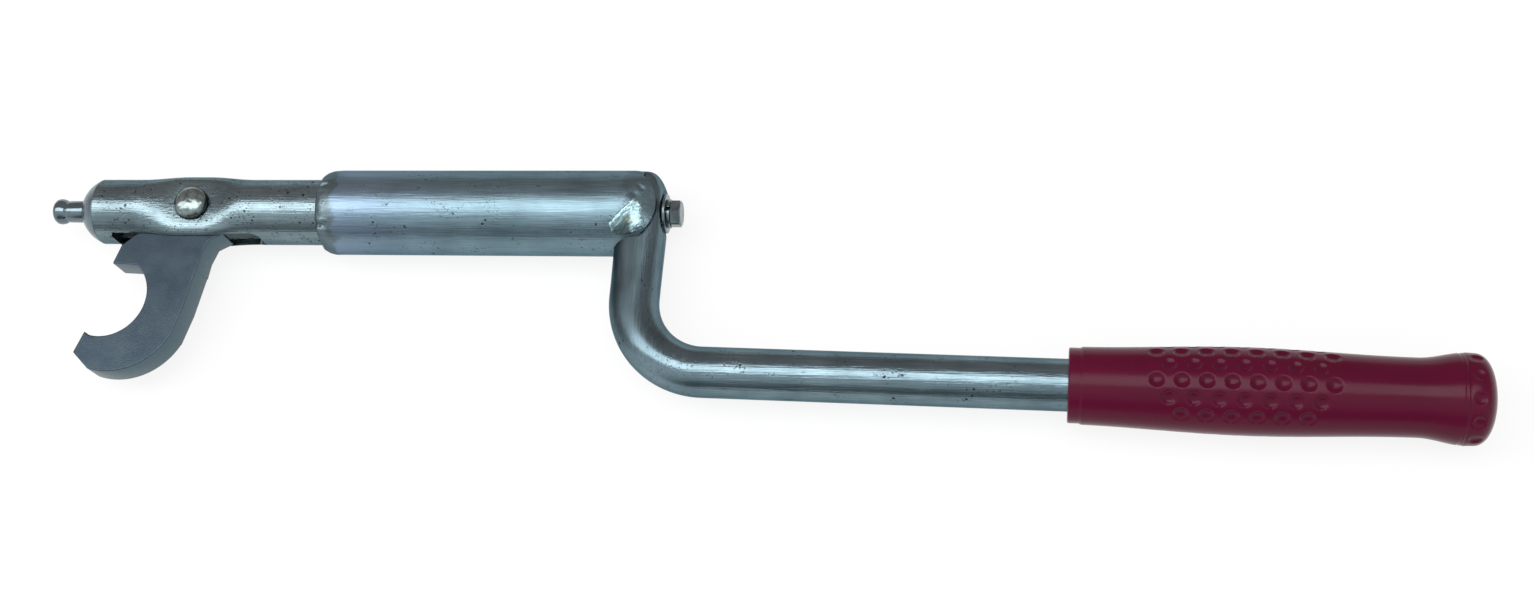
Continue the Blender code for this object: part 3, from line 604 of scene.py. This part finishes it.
bmesh.ops.delete(nose, geom=slot_faces, context="FACES")
bmesh.ops.recalc_face_normals(nose, faces=nose.faces)
bmesh.ops.solidify(nose, geom=nose.faces, thickness=NOSE_WALL)
for vert in nose.verts:
    point = vert.co
    in_length = SLOT_FRONT - SLOT_EDGE < point.x < SLOT_REAR - SLOT_CORNER
    if in_length and point.y < 0 and abs(point.z) < SLOT_HALF - SLOT_EDGE:
        point.z = copysign(SLOT_HALF, point.z)
nose.normal_update()
print("slot", SLOT_REAR - SLOT_FRONT, "mm long")

# %% [markdown]
# Two marks go on the nose's faces for its finish: the bore, painted pale as light inside the shaded tube,
# and a little painted shade on the slot's front end.

# %% Nose tube
FRONT_END_SHADE = 0.15

bore = nose.faces.layers.float.new("bore")
shade_and_dulling = nose.faces.layers.float.new("shade_and_dulling")
for face in nose.faces:
    middle = face.calc_center_median()
    # The slot's front end gets a little painted shade.
    front_end = face.normal.x > 0.5 and abs(middle.x - SLOT_FRONT) < 0.5
    face[shade_and_dulling] = FRONT_END_SHADE if front_end else 0.0
    outward = face.normal.y * middle.y + face.normal.z * middle.z
    face[bore] = 1.0 if outward < -0.7 * off_axis(middle) else 0.0
hand_over(nose, "nose_shell", "nose", nose_plating, "nose_tube", sharp=40.0)

# %% [markdown]
# The hook is cut from 12 mm plate. Its outline is walked once round: straight runs join points, and each
# arc is a point spun about the arc's centre.

# %% Walking an outline
HOOK_HALF = 6.0


def only(kind, items):
    return [item for item in items if isinstance(item, kind)]


def walk_to(bm, last, point):
    vert = bm.verts.new((*point, -HOOK_HALF))
    if last:
        bm.edges.new((last, vert))
    return vert


def walk_arc(bm, last, centre, radius, start, end, steps):
    first = walk_to(bm, last, (centre.x + radius * cos(radians(start)),
                               centre.y + radius * sin(radians(start))))
    swept = bmesh.ops.spin(bm, geom=[first], cent=(centre.x, centre.y, -HOOK_HALF), axis=(0, 0, 1),
                           angle=radians(end - start), steps=steps)
    return only(BMVert, swept["geom_last"])[0]


print("plate", 2 * HOOK_HALF, "mm thick")

# %% [markdown]
# The closed outline becomes a face, is pulled to its thickness and gets a small rounding on every sharp
# edge. The faces of its edge are marked with painted light, which makes them paler than the plate's faces.

# %% Hook
HEAD_CENTRE = Vector((0.0, 0.0, 0.0))
HEAD_RADIUS = 8.0
MOUTH_CENTRE = Vector((-32.3, -39.6, 0.0))
MOUTH_RADIUS = 17.7
BACK_CENTRE = Vector((-26.4, -44.4, 0.0))
BACK_RADIUS = 28.0
HEEL = (14.4, -12.2)
TOOTH = ((-24.1, -12.7), (-29.2, -17.3), (-31.8, -25.5))
TOOTH_FOOT_Y = -26.0
TIP = ((-38.6, -55.4), (-41.9, -64.4))
SHANK_BACK = ((-1.1, -56.7), (2.3, -44.5), (5.2, -28.3), (5.55, -27.8), (6.3, -21.6), (8.5, -15.4))

hook = bmesh.new()
start = walk_to(hook, None, HEEL)
spot = walk_arc(hook, start, HEAD_CENTRE, HEAD_RADIUS, -30.0, 195.0, 40)
for point in TOOTH:
    spot = walk_to(hook, spot, point)
tooth_angle = degrees(asin((TOOTH_FOOT_Y - MOUTH_CENTRE.y) / MOUTH_RADIUS))
spot = walk_arc(hook, spot, MOUTH_CENTRE, MOUTH_RADIUS, tooth_angle, -103.0, 48)
for point in TIP:
    spot = walk_to(hook, spot, point)
spot = walk_arc(hook, spot, BACK_CENTRE, BACK_RADIUS, -107.0, -28.0, 32)
for point in SHANK_BACK:
    spot = walk_to(hook, spot, point)
hook.edges.new((spot, start))
bmesh.ops.remove_doubles(hook, verts=hook.verts, dist=0.01)
face = bmesh.ops.contextual_create(hook, geom=hook.edges[:])["faces"]
pulled = bmesh.ops.extrude_face_region(hook, geom=face, use_keep_orig=True)["geom"]
bmesh.ops.translate(hook, verts=only(BMVert, pulled), vec=(0.0, 0.0, 2 * HOOK_HALF))
bmesh.ops.recalc_face_normals(hook, faces=hook.faces)
soften(hook, 0.5, 60.0)
painted_edge_light = hook.faces.layers.float.new("painted_edge_light")
# The edge faces get painted light.
for face in hook.faces:
    face[painted_edge_light] = 1.0 if abs(face.normal.z) < 0.6 else 0.0
hand_over(hook, "hook_plate", "hook", hook_steel, "hook", sharp=20.0)

# %% [markdown]
# The rivet is a steel pin with a domed head at each end. The heads were closed with a hammer, so each
# point of the spun dome moves a little by a smooth noise. The rim is marked with painted shade, darker
# where the dome curves down to the tube.

# %% Rivet
RIVET_SEAT = 9.7
RIVET_SHANK = 4.0
RIVET_HEAD_RADIUS = 7.2
RIVET_HEAD_HEIGHT = 4.2
RIVET_RIM = 0.4
DOME_STEPS = 16
HAMMER_DEPTH = 0.25
RIM_SHADE_FROM = 6.0
RIM_SHADE_SHARE = 0.8

half = [(0.0, RIVET_SHANK), (RIVET_SEAT, RIVET_SHANK), (RIVET_SEAT, RIVET_HEAD_RADIUS - 0.15),
        (RIVET_SEAT + RIVET_RIM, RIVET_HEAD_RADIUS)]
for i in range(1, DOME_STEPS + 1):
    part = i / DOME_STEPS
    half.append((RIVET_SEAT + RIVET_RIM + (RIVET_HEAD_HEIGHT - RIVET_RIM) * sin(pi / 2 * part),
                 RIVET_HEAD_RADIUS * cos(pi / 2 * part)))
rivet = turned([(-x, r) for x, r in reversed(half[1:])] + half, 72)
bmesh.ops.rotate(rivet, verts=rivet.verts, matrix=Matrix.Rotation(pi / 2, 3, "Y"))
for vert in rivet.verts:
    if abs(vert.co.z) > RIVET_SEAT + 1.0:
        vert.co -= vert.co.normalized() * HAMMER_DEPTH * (0.5 + 0.5 * noise.noise(vert.co * 0.55))
# The rim mark paints shade round the head's edge.
rim = rivet.verts.layers.float.new("rim")
for vert in rivet.verts:
    vert[rim] = RIM_SHADE_SHARE * min(max(vert.co.xy.length - RIM_SHADE_FROM, 0.0), 1.0)
hand_over(rivet, "rivet_dome", "nose", rivet_steel, "pivot_rivet")

# %% [markdown]
# The crank is a round tube, but where it stands in the barrel's end it was pressed squarer, and its top
# was closed over in a crown. The barrel's end is cut to fit it, so the crank's section comes first.

# %% Section of the crank
CRANK_RADIUS = 10.1
CRANK_TOP = 17.0
CROWN_POWER = 2.4
CROWN_WIDTH = 0.65
HOOD_RADIUS = 17.2
FLATNESS = 2.8
FLAT_REACH = 32.0


def clamp(value):
    return max(min(value, 1.0), 0.0)


def crank_section(y):
    """Half depth, half width and squareness of the crank at a height."""
    crown = (1 - clamp(y / CRANK_TOP) ** CROWN_POWER) ** (1 / CROWN_POWER)
    hood = sqrt(max(HOOD_RADIUS ** 2 - max(y, 0.0) ** 2, 1.0))
    width = min(CRANK_RADIUS * (CROWN_WIDTH + (1 - CROWN_WIDTH) * crown), hood)
    return CRANK_RADIUS * crown, width, 2 + (FLATNESS - 2) * clamp(y / FLAT_REACH + 1.0)


print("crank on the axis", [round(value, 2) for value in crank_section(0.0)])

# %% [markdown]
# The barrel is the wider tube that the nose turns in. Its rear end is cut to a saddle that fits the
# crank, and an ear stands on each side. One function says how far back the wall reaches.

# %% Saddle and ears of the barrel
BARREL_RADIUS = 17.5
BARREL_REAR = 191.2
OVERLAP = 0.3
WEB_X = 189.6
WEB_LEAN = tan(radians(1.0))
EAR_START = 186.0
EAR_LENGTH = 11.0
EAR_MIDDLE = -4.0
EAR_SPREAD = 52.0


def cope_end(y, z):
    depth, width, power = crank_section(y)
    side = abs(z) / width
    if side < 1.0:
        saddle = WEB_X + WEB_LEAN * y - depth * (1 - side ** power) ** (1 / power) + OVERLAP
        return min(saddle, BARREL_REAR)
    around = degrees(atan2(y, abs(z)))
    rise = sqrt(max(1 - ((around - EAR_MIDDLE) / EAR_SPREAD) ** 2, 0.0))
    return max(EAR_START + EAR_LENGTH * rise, BARREL_REAR)


print("ear ends at", round(cope_end(0.0, BARREL_RADIUS), 1))

# %% [markdown]
# The ears were hammered down on the crank. They tuck in towards its sides by the same soft limit as the
# nose's pinch, and the outer skin keeps dents and a few pits.

# %% Pressed ears
BARREL_BORE = 15.5
EAR_TUCK = 1.8
EAR_BORE_TUCK = 0.2
EAR_LEVEL = 18.2
EAR_SLOPE = 0.52
EAR_GAP = 0.1
EAR_SHARPNESS = 14
EAR_BLEND = 0.3
EAR_DENTS = 0.25
EAR_TOP_DENT = 0.45
EAR_PITS = ((191.5, 5.2, 1.0, 0.9), (188.9, 2.0, 1.4, 0.7), (190.2, 6.6, 0.8, 0.6))


def scale_round(point, radius_new):
    radius = off_axis(point)
    point.y *= radius_new / radius
    point.z *= radius_new / radius


def press_ear(point):
    radius = off_axis(point)
    ear = (point.x - EAR_START) / EAR_LENGTH
    if ear <= 0.0:
        return
    skin = radius > (BARREL_RADIUS + BARREL_BORE) / 2
    dent = EAR_DENTS * abs(noise.noise(point * 0.35)) * ear
    if skin:
        arc = atan2(point.y, abs(point.z)) * BARREL_RADIUS
        for x, around, size, depth in EAR_PITS:
            dent += depth * exp(-((point.x - x) ** 2 + (arc - around) ** 2) / size ** 2)
        dent += EAR_TOP_DENT * max(point.y / radius, 0.0) ** 6 * min(ear / 0.35, 1.0) ** 2
    scale_round(point, radius - (EAR_TUCK if skin else EAR_BORE_TUCK) * ear ** 2 - dent)
    limit = crank_section(point.y)[1] - EAR_GAP
    if skin:
        limit = EAR_LEVEL - EAR_SLOPE * (point.x - EAR_START)
    point.z += (soft_limit(point.z, limit, EAR_SHARPNESS) - point.z) * min(ear / EAR_BLEND, 1.0)


print("ears pressed in by", EAR_TUCK, "mm")

# %% [markdown]
# The mouth is necked in over the nose and slit in six places. Closing the slits raised a small ridge on
# both sides of each, and the neck is a little lumpy between them.

# %% Slit mouth
BARREL_MOUTH = 56.0
NECK_LENGTH = 7.5
NECK_BORE = 13.9
LEAST_NECK = NECK_BORE + 0.2
SLIT_ANGLE = 20.0
SLIT_STEP = 60.0
SLIT_DEPTH = 0.9
RIDGE_HEIGHT = 0.4
RIDGE_OFF = 7.5
LUMP_HEIGHT = 0.3


def slit_mouth(point):
    radius = off_axis(point)
    neck = (point.x - BARREL_MOUTH) / NECK_LENGTH
    if neck < 1.0 and radius > LEAST_NECK:
        around = degrees(atan2(point.y, point.z)) - SLIT_ANGLE
        off = (around + SLIT_STEP / 2) % SLIT_STEP - SLIT_STEP / 2
        slit = exp(-(off / 3.2) ** 2) * max(0.0, 1.0 - (neck / 0.75) ** 3)
        ridge = exp(-((abs(off) - RIDGE_OFF) / 3.0) ** 2) * max(0.0, 1.0 - (neck / 0.85) ** 2)
        lump = noise.noise(Vector((point.x * 0.35, point.y * 0.3, point.z * 0.3))) * (1.0 - neck)
        raised = radius - SLIT_DEPTH * slit + RIDGE_HEIGHT * ridge + LUMP_HEIGHT * lump
        scale_round(point, max(raised, LEAST_NECK))


print("slits", int(360.0 / SLIT_STEP))

# %% [markdown]
# The barrel itself is one spun wall, with close rings at both ends. The last rings slide along the axis to
# the saddle and the ears, the ears are pressed, and the mouth gets its slits.

# %% Barrel
LIP_RADIUS = 14.8
COPE_START = 170.0
COPE_LENGTH = BARREL_REAR - COPE_START
NECK_RINGS = 30
COPE_RINGS = 40
BORE_RINGS = 8

outer = []
for i in range(NECK_RINGS + 1):
    part = pi / 2 * i / NECK_RINGS
    outer.append((BARREL_MOUTH + NECK_LENGTH * (1 - cos(part)),
                  LIP_RADIUS + (BARREL_RADIUS - LIP_RADIUS) * sin(part)))
outer += [(90.0, BARREL_RADIUS), (125.0, BARREL_RADIUS)]
outer += [(x, BARREL_RADIUS) for x in spaced(COPE_START, BARREL_REAR, COPE_RINGS)]
inner = [(x, BARREL_BORE) for x in spaced(BARREL_REAR, COPE_START, BORE_RINGS)]
inner += [(BARREL_MOUTH + NECK_LENGTH, BARREL_BORE), (BARREL_MOUTH + 2.0, NECK_BORE),
          (BARREL_MOUTH, NECK_BORE)]
barrel = turned(outer + inner, 240, closed=True)
for vert in barrel.verts:
    point = vert.co
    if point.x > COPE_START:
        part = (point.x - COPE_START) / COPE_LENGTH
        point.x = COPE_START + part * (cope_end(point.y, point.z) - COPE_START)
    press_ear(point)
    slit_mouth(point)
hand_over(barrel, "barrel_tube", "handle", barrel_plating, "barrel", sharp=40.0)

# %% [markdown]
# The crank is one bent tube: the handle's arm, a bend, and the web that stands in the barrel's coped end.
# The two straight runs meet at a corner. From it come the bend's start and its centre.

# %% Line of the crank
AXIS_OFFSET = 66.5
HANDLE_SLOPE = radians(1.2)
BEND_RADIUS = 30.0
corner = Vector((WEB_X - WEB_LEAN * AXIS_OFFSET, -AXIS_OFFSET, 0.0))
arm = Vector((cos(HANDLE_SLOPE), -sin(HANDLE_SLOPE), 0.0))
web = Vector((-WEB_LEAN, -1.0, 0.0)).normalized()
bend_turn = acos(web.dot(arm))
tangent = BEND_RADIUS * tan(bend_turn / 2)
left = Vector((-arm.y, arm.x, 0.0))
bend_centre = corner + arm * tangent + left * BEND_RADIUS
print("bend of", round(degrees(bend_turn), 1), "degrees")

# %% [markdown]
# A circle is pulled along the arm, spun round the bend and pulled up the web, closer towards the top.

# %% Bent tube
ARM_LENGTH = 319.4
ARM_RINGS = 8


def pull(bm, rim, step):
    grown = bmesh.ops.extrude_edge_only(bm, edges=rim)["geom"]
    bmesh.ops.translate(bm, verts=only(BMVert, grown), vec=step)
    return [edge for edge in only(BMEdge, grown) if len(edge.link_faces) == 1]


crank = bmesh.new()
bmesh.ops.create_circle(crank, radius=CRANK_RADIUS, segments=96)
bmesh.ops.rotate(crank, verts=crank.verts,
                 matrix=Matrix.Rotation(-HANDLE_SLOPE, 3, "Z") @ Matrix.Rotation(pi / 2, 3, "Y"))
bmesh.ops.translate(crank, verts=crank.verts, vec=corner + arm * ARM_LENGTH)
rim = crank.edges[:]
bmesh.ops.holes_fill(crank, edges=rim)
for i in range(ARM_RINGS):
    rim = pull(crank, rim, -arm * (ARM_LENGTH - tangent) / ARM_RINGS)
swept = bmesh.ops.spin(crank, geom=rim, cent=bend_centre, axis=(0, 0, 1), angle=-bend_turn, steps=40)
rim = only(BMEdge, swept["geom_last"])
height = (corner - web * tangent).y
levels = spaced(height, -BARREL_RADIUS, 16)[1:] + spaced(-BARREL_RADIUS, 0.0, 22)[1:]
levels += [CRANK_TOP * sin(pi / 2 * (i + 1) / 40) for i in range(39)]
for y in levels:
    rim = pull(crank, rim, -web * (y - height) / -web.y)
    height = y
bmesh.ops.holes_fill(crank, edges=rim)
print("crank skin has", len(crank.faces), "faces")

# %% [markdown]
# At the top the round section is pressed squarer and closes over in a crown, with a flat spot for the
# bolt's washer. Hands leave the web's sides and the bend dull, less so towards the bolt, and the same mark
# darkens them as painted shade. Shade is painted into the crevice under the barrel's ear. Both are marks
# on the crank's points, which the finish darkens.

# %% Crank
WEB_ZONE_END = WEB_X + 15.0
SPOT_FACE_X = 198.3
SPOT_RADIUS = 8.7

for vert in crank.verts:
    point = vert.co
    if point.y > -FLAT_REACH and point.x < WEB_ZONE_END:
        depth, width, power = crank_section(point.y)
        middle = WEB_X + WEB_LEAN * point.y
        along = (point.x - middle) / CRANK_RADIUS
        side = point.z / CRANK_RADIUS
        point.x = middle + copysign(abs(along) ** (2 / power), along) * depth
        point.z = copysign(abs(side) ** (2 / power), side) * width
        point.x = min(point.x, SPOT_FACE_X + max(off_axis(point) - SPOT_RADIUS, 0.0))

WEB_SHADE_AND_DULLING = 0.64
REAR_LOSS = 0.36
WEB_SHADE_LOW = -68.0
WEB_SHADE_HIGH = 2.0
CREVICE_SHADE = 0.7
CREVICE_WIDTH = 1.1
CREVICE_LOW = -0.6
CREVICE_HIGH = 0.75

# Painted shade, which also dulls, on the web's sides and bend, and painted shade in the crevice under the
# ear.
shade_and_dulling = crank.verts.layers.float.new("shade_and_dulling")
for vert in crank.verts:
    point = vert.co
    if point.x < WEB_ZONE_END:
        front = clamp((abs(point.z) / CRANK_RADIUS - 0.35) / 0.4)
        across = (point.x - WEB_X - WEB_LEAN * point.y) / CRANK_RADIUS
        share = WEB_SHADE_AND_DULLING - REAR_LOSS * clamp(across / 0.6)
        vert[shade_and_dulling] = share * front * clamp(min((point.y - WEB_SHADE_LOW) / 14.0, (WEB_SHADE_HIGH - point.y) / 8.0))
    # The crevice under the barrel's ear gets painted shade.
    around = atan2(point.y, abs(point.z))
    if abs(point.z) > 4.0 and CREVICE_LOW < around < CREVICE_HIGH:
        lip = cope_end(BARREL_RADIUS * sin(around), BARREL_RADIUS * cos(around))
        fade = clamp(min((CREVICE_HIGH - around) / 0.5, (around - CREVICE_LOW) / 0.4))
        crevice = CREVICE_SHADE * fade * exp(-((point.x - lip) / CREVICE_WIDTH) ** 2)
        vert[shade_and_dulling] = max(vert[shade_and_dulling], crevice)
bmesh.ops.recalc_face_normals(crank, faces=crank.faces)
hand_over(crank, "crank_pipe", "handle", crank_plating, "crank_tube", sharp=40.0)

# %% [markdown]
# A hand-laid weld joins the barrel's ear to the crank on both sides. It ran down the joint and froze in a
# lumpy wedge, with a crest on its upper edge and a blob at its foot. Its height follows from how far
# inside the wedge's outline a point lies.

# %% Height of the weld
WELD_OUTLINE = [Vector(point) for point in ((178.6, -10.6), (180.0, -16.5), (184.7, -18.6), (189.5, -15.6),
                                            (192.6, -15.2), (193.4, -9.8), (192.2, -1.6), (188.8, 0.2))]
WELD_EDGES = (0.8, 3.0, 3.0, 1.2, 1.0, 1.0, 1.0, 0.5)
WELD_LOBE = Vector((190.4, -11.5))
WELD_HEIGHT = 0.55
CREST_HEIGHT = 0.5
LOBE_HEIGHT = 1.4
RAGGED = 1.1


def weld_gaps(x, arc):
    gaps = []
    for first, second in zip(WELD_OUTLINE, WELD_OUTLINE[1:] + WELD_OUTLINE[:1]):
        run = (second - first).normalized()
        gaps.append(run.x * (arc - first.y) - run.y * (x - first.x))
    return gaps


def weld_height(x, arc):
    ragged = RAGGED * noise.noise(Vector((x * 0.9, arc * 0.9, 3.0))) * (0.5 if x < 186.0 else 1.0)
    gaps = weld_gaps(x, arc)
    part = min(clamp((gap + ragged) / width) for gap, width in zip(gaps, WELD_EDGES))
    crest = CREST_HEIGHT * exp(-((gaps[-1] - 1.2) / 1.0) ** 2)
    lobe = LOBE_HEIGHT * exp(-(Vector((x, arc)) - WELD_LOBE).length_squared / 18.0)
    lumps = 0.3 * noise.noise(Vector((x * 0.45, arc * 0.45, 0.0))) * (0.3 + lobe)
    lumps += 0.16 * noise.noise(Vector(((x + arc) * 0.35, (x - arc) * 1.1, 6.0)))
    part = part * part * (3 - 2 * part)
    return part, part * (WELD_HEIGHT + crest + lobe + lumps)


print("weld", round(weld_height(WELD_LOBE.x, WELD_LOBE.y)[1], 2), "mm high at its blob")

# %% [markdown]
# A fine grid is rolled round the barrel just under its skin, and inside the outline it rises above the
# skin. The olive strip and the heat spot are marked on its points. The sheet then gets a thin wall, and
# its mirror image is the weld of the other side.

# %% Welds
SCORCH = Vector((187.4, -8.8))
SCORCH_SHARE = 0.6
OLIVE_END = 188.6
WELD_BED = 0.35
WELD_FILL = 0.5
WELD_WALL = 0.5
WELD_FRONT = 176.0
WELD_LOW = -24.0
WELD_SPAN = 26.0
WELD_END_GAP = 0.4

for node, side in (("crank_weld_front", 1), ("crank_weld_back", -1)):
    weld = bmesh.new()
    bmesh.ops.create_grid(weld, x_segments=80, y_segments=100, size=0.5)
    olive = weld.verts.layers.float.new("olive")
    scorch = weld.verts.layers.float.new("scorch")
    for vert in weld.verts:
        arc = WELD_LOW + WELD_SPAN * (vert.co.y + 0.5)
        outward = Vector((0.0, sin(arc / BARREL_RADIUS), cos(arc / BARREL_RADIUS)))
        end = cope_end(BARREL_RADIUS * outward.y, BARREL_RADIUS * outward.z) - WELD_END_GAP
        x = WELD_FRONT + (end - WELD_FRONT) * (vert.co.x + 0.5)
        part, rise = weld_height(x, arc)
        round_skin = Vector((x, 0.0, 0.0)) + outward * BARREL_RADIUS
        skin = round_skin.copy()
        press_ear(skin)
        skin = skin.lerp(round_skin, WELD_FILL * part)
        shade = noise.noise(Vector((x * 0.4, arc * 0.4, 8.0)))
        strip = (weld_gaps(x, arc)[-1] - 2.4 + shade) / 1.4
        vert[olive] = clamp(min(strip, (OLIVE_END - x + 1.5 * shade) / 1.6))
        vert[scorch] = SCORCH_SHARE * exp(-(Vector((x, arc)) - SCORCH).length_squared / 1.6)
        vert.co = skin + outward * (rise - WELD_BED)
        vert.co.z *= side
    bmesh.ops.recalc_face_normals(weld, faces=weld.faces)
    if sum((face.normal.z * side for face in weld.faces), 0.0) < 0:
        bmesh.ops.reverse_faces(weld, faces=weld.faces)
    bmesh.ops.solidify(weld, geom=weld.faces, thickness=WELD_WALL)
    hand_over(weld, node + "_bead", "handle", weld_metal, node, sharp=60.0)

# %% [markdown]
# Behind the crank the nose's spindle is held by a bolt with a flat washer and a split spring washer. The
# flat one is a spun wall. The spring washer is a square section spun short of a full turn.

# %% Washers
WASHER_X = 198.6
WASHER_THICK = 1.2
SPRING_X = 200.1
SPLIT_HALF = radians(7.5)


def washer_section(x, bore, radius):
    return [(x, bore), (x, radius), (x + WASHER_THICK, radius), (x + WASHER_THICK, bore)]


flat_washer = turned(washer_section(WASHER_X, 3.3, 8.0), 96, closed=True)
soften(flat_washer, 0.25, 60.0)
hand_over(flat_washer, "washer_flat", "nose", bolt_steel, "flat_washer")

spring = bmesh.new()
section = [spring.verts.new((x, 0.0, r)) for x, r in washer_section(SPRING_X, 3.4, 5.9)]
first = spring.faces.new(section)
bmesh.ops.rotate(spring, verts=spring.verts, matrix=Matrix.Rotation(SPLIT_HALF, 3, "X"))
bmesh.ops.spin(spring, geom=[first], axis=(1, 0, 0), angle=tau - 2 * SPLIT_HALF, steps=72)
bmesh.ops.remove_doubles(spring, verts=spring.verts, dist=0.001)
bmesh.ops.recalc_face_normals(spring, faces=spring.faces)
soften(spring, 0.18, 60.0)
hand_over(spring, "washer_spring", "nose", bolt_steel, "spring_washer")

# %% [markdown]
# The bolt is spun with a round head, and the head's points are then drawn in to six flats. Its rim falls
# away towards the corners, as the chamfer on a real hexagon head does.

# %% Bolt
HEAD_X = 201.6
HEAD_HEIGHT = 4.0
HEAD_FLATS = 10.0
HEAD_TURN = 20.0
SHANK_END = NOSE_REAR - 15.0

head_end = HEAD_X + HEAD_HEIGHT
head_middle = HEAD_X + HEAD_HEIGHT / 2
corner_radius = HEAD_FLATS / sqrt(3)
bolt_profile = [(SHANK_END, 0.0), (SHANK_END, 2.6), (SHANK_END + 0.5, 3.0), (HEAD_X, 3.0), (HEAD_X, 4.4),
                (HEAD_X, corner_radius), (head_middle, corner_radius), (head_end - 0.45, corner_radius),
                (head_end, 4.7), (head_end, 0.0)]
bolt = turned(bolt_profile, 96)
for vert in bolt.verts:
    radius = off_axis(vert.co)
    if radius > corner_radius - 0.01:
        around = degrees(atan2(vert.co.y, vert.co.z)) - HEAD_TURN
        flat = HEAD_FLATS / 2 / cos(radians((around + 30.0) % 60.0 - 30.0))
        if vert.co.x > head_middle + 0.1:
            vert.co.x = head_end - 0.15 - 0.6 * (flat - HEAD_FLATS / 2)
        scale_round(vert.co, flat)
hand_over(bolt, "bolt_hex", "nose", bolt_steel, "rear_bolt", sharp=25.0)

# %% [markdown]
# The grip is a blind sleeve with a lip at its mouth. It swells in the palm, necks in and flares at its
# end, and smooth waves join the radii at a few stops along it.

# %% Outline of the grip
GRIP_LENGTH = 154.9
GRIP_STOPS = ((0.0, 14.85), (66.0, 16.7), (128.0, 14.95), (146.0, 17.38))


def grip_radius(along):
    for (start, first), (end, second) in zip(GRIP_STOPS, GRIP_STOPS[1:]):
        if along <= end:
            wave = 0.5 - 0.5 * cos(pi * (along - start) / (end - start))
            return first + (second - first) * wave
    part = (along - GRIP_STOPS[-1][0]) / (GRIP_LENGTH - GRIP_STOPS[-1][0])
    return GRIP_STOPS[-1][1] * sqrt(1 - 0.75 * part ** 3)


print("grip's end", round(2 * grip_radius(GRIP_LENGTH), 1), "mm wide")

# %% [markdown]
# Moulded into the grip are two fields of round dimples, rows of six to nine, set like bricks, a ring of
# small ones on the flare, and thin lines where the mould's pieces met. They are shape, not paint: a point
# sinks by its distance from the nearest dimple's middle.

# %% Dimples of the grip
DIMPLE_RADIUS = 2.9
DIMPLE_DEPTH = 1.3
DIMPLE_PITCH = 9.15
LONGEST_ROW = 9
ROW_DEGREES = 24.0
FIELD_MIDDLE = 64.4
FIELDS = ((19.0, 3), (199.0, 2))
WEAK_DIMPLE = 0.35
RING_PLACE = 147.4
RING_TURN = 16.0
RING_STEP = 30.0
RING_DIMPLE = (2.5, 0.9)
MOULD_LINES = (4.6, 142.6, 143.8)
LINE_DEPTH = 0.35
LINE_HALF = 0.6


def dimple(distance, radius, depth):
    return depth * max(0.0, 1 - (distance / radius) ** 3)


def sink(along, around, radius):
    depth = 0.0
    for middle, outer_row in FIELDS:
        off = (around - middle + 180.0) % 360.0 - 180.0
        row = round(off / ROW_DEGREES)
        if abs(row) <= outer_row:
            count = LONGEST_ROW - abs(row)
            place = (along - FIELD_MIDDLE) / DIMPLE_PITCH + (count - 1) / 2
            number = min(max(round(place), 0), count - 1)
            weak = WEAK_DIMPLE if row == 0 and number in (0, count - 1) else 1.0
            across = radians(off - row * ROW_DEGREES) * radius
            depth += dimple(hypot((place - number) * DIMPLE_PITCH, across), DIMPLE_RADIUS,
                            DIMPLE_DEPTH * weak)
    off = (around + RING_TURN + RING_STEP / 2) % RING_STEP - RING_STEP / 2
    depth += dimple(hypot(along - RING_PLACE, radians(off) * radius), *RING_DIMPLE)
    for line in MOULD_LINES:
        depth += LINE_DEPTH * max(0.0, 1 - abs(along - line) / LINE_HALF)
    return depth


print("dimples", DIMPLE_DEPTH, "mm deep,", DIMPLE_PITCH, "mm apart")

# %% [markdown]
# The sleeve is spun with close rings, so that the dimples come out round, and its outer points sink. It
# is then turned to the handle's slope and pushed onto the arm.

# %% Grip
GRIP_FROM_CORNER = 171.8
GRIP_BORE = 10.4
GRIP_FLOOR = GRIP_LENGTH - 7.0
COLLAR_RADIUS = 14.45
COLLAR_LENGTH = 4.2
GRIP_RINGS = 299

outer = [(0.0, COLLAR_RADIUS - 0.5), (0.25, COLLAR_RADIUS - 0.12), (0.6, COLLAR_RADIUS),
         (2.0, COLLAR_RADIUS), (COLLAR_LENGTH - 0.3, COLLAR_RADIUS), (COLLAR_LENGTH, COLLAR_RADIUS + 0.05),
         (COLLAR_LENGTH + 0.3, grip_radius(4.5) - 0.05)]
outer += [(x, grip_radius(x)) for x in spaced(COLLAR_LENGTH + 0.6, GRIP_LENGTH - 0.05, GRIP_RINGS)]
end_radius = grip_radius(GRIP_LENGTH)
outer += [(GRIP_LENGTH, end_radius - 0.8), (GRIP_LENGTH, end_radius * 0.5), (GRIP_LENGTH, 0.0)]
inside = [(GRIP_FLOOR, 0.0), (GRIP_FLOOR, GRIP_BORE), (0.0, GRIP_BORE)]
grip = turned(inside + outer, 240)
for vert in grip.verts:
    radius = off_axis(vert.co)
    if radius > GRIP_BORE + 0.5:
        around = degrees(atan2(vert.co.y, vert.co.z))
        scale_round(vert.co, radius - sink(vert.co.x, around, radius))
bmesh.ops.rotate(grip, verts=grip.verts, matrix=Matrix.Rotation(-HANDLE_SLOPE, 3, "Z"))
bmesh.ops.translate(grip, verts=grip.verts, vec=corner + arm * GRIP_FROM_CORNER)
hand_over(grip, "grip_sleeve", "handle", red_vinyl, "grip", sharp=40.0)

# %% [markdown]
# Inside the barrel sit the bushes, the end disc, the thrust washer, the plug and the sleeve of the spindle.
# They hardly show, and their solids are plain turned rings, so they keep them and only take a real finish.

# %% Inner pieces
INNER_PIECES = {"front_bush": bush_bronze, "rear_bush": bush_bronze, "thrust_washer": bush_bronze,
                "end_disc": turned_steel, "spindle_plug": turned_steel, "distance_sleeve": turned_steel}
for node, finish in INNER_PIECES.items():
    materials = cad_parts[node].data.materials
    materials.clear()
    materials.append(finish)
print("inner pieces", len(INNER_PIECES))
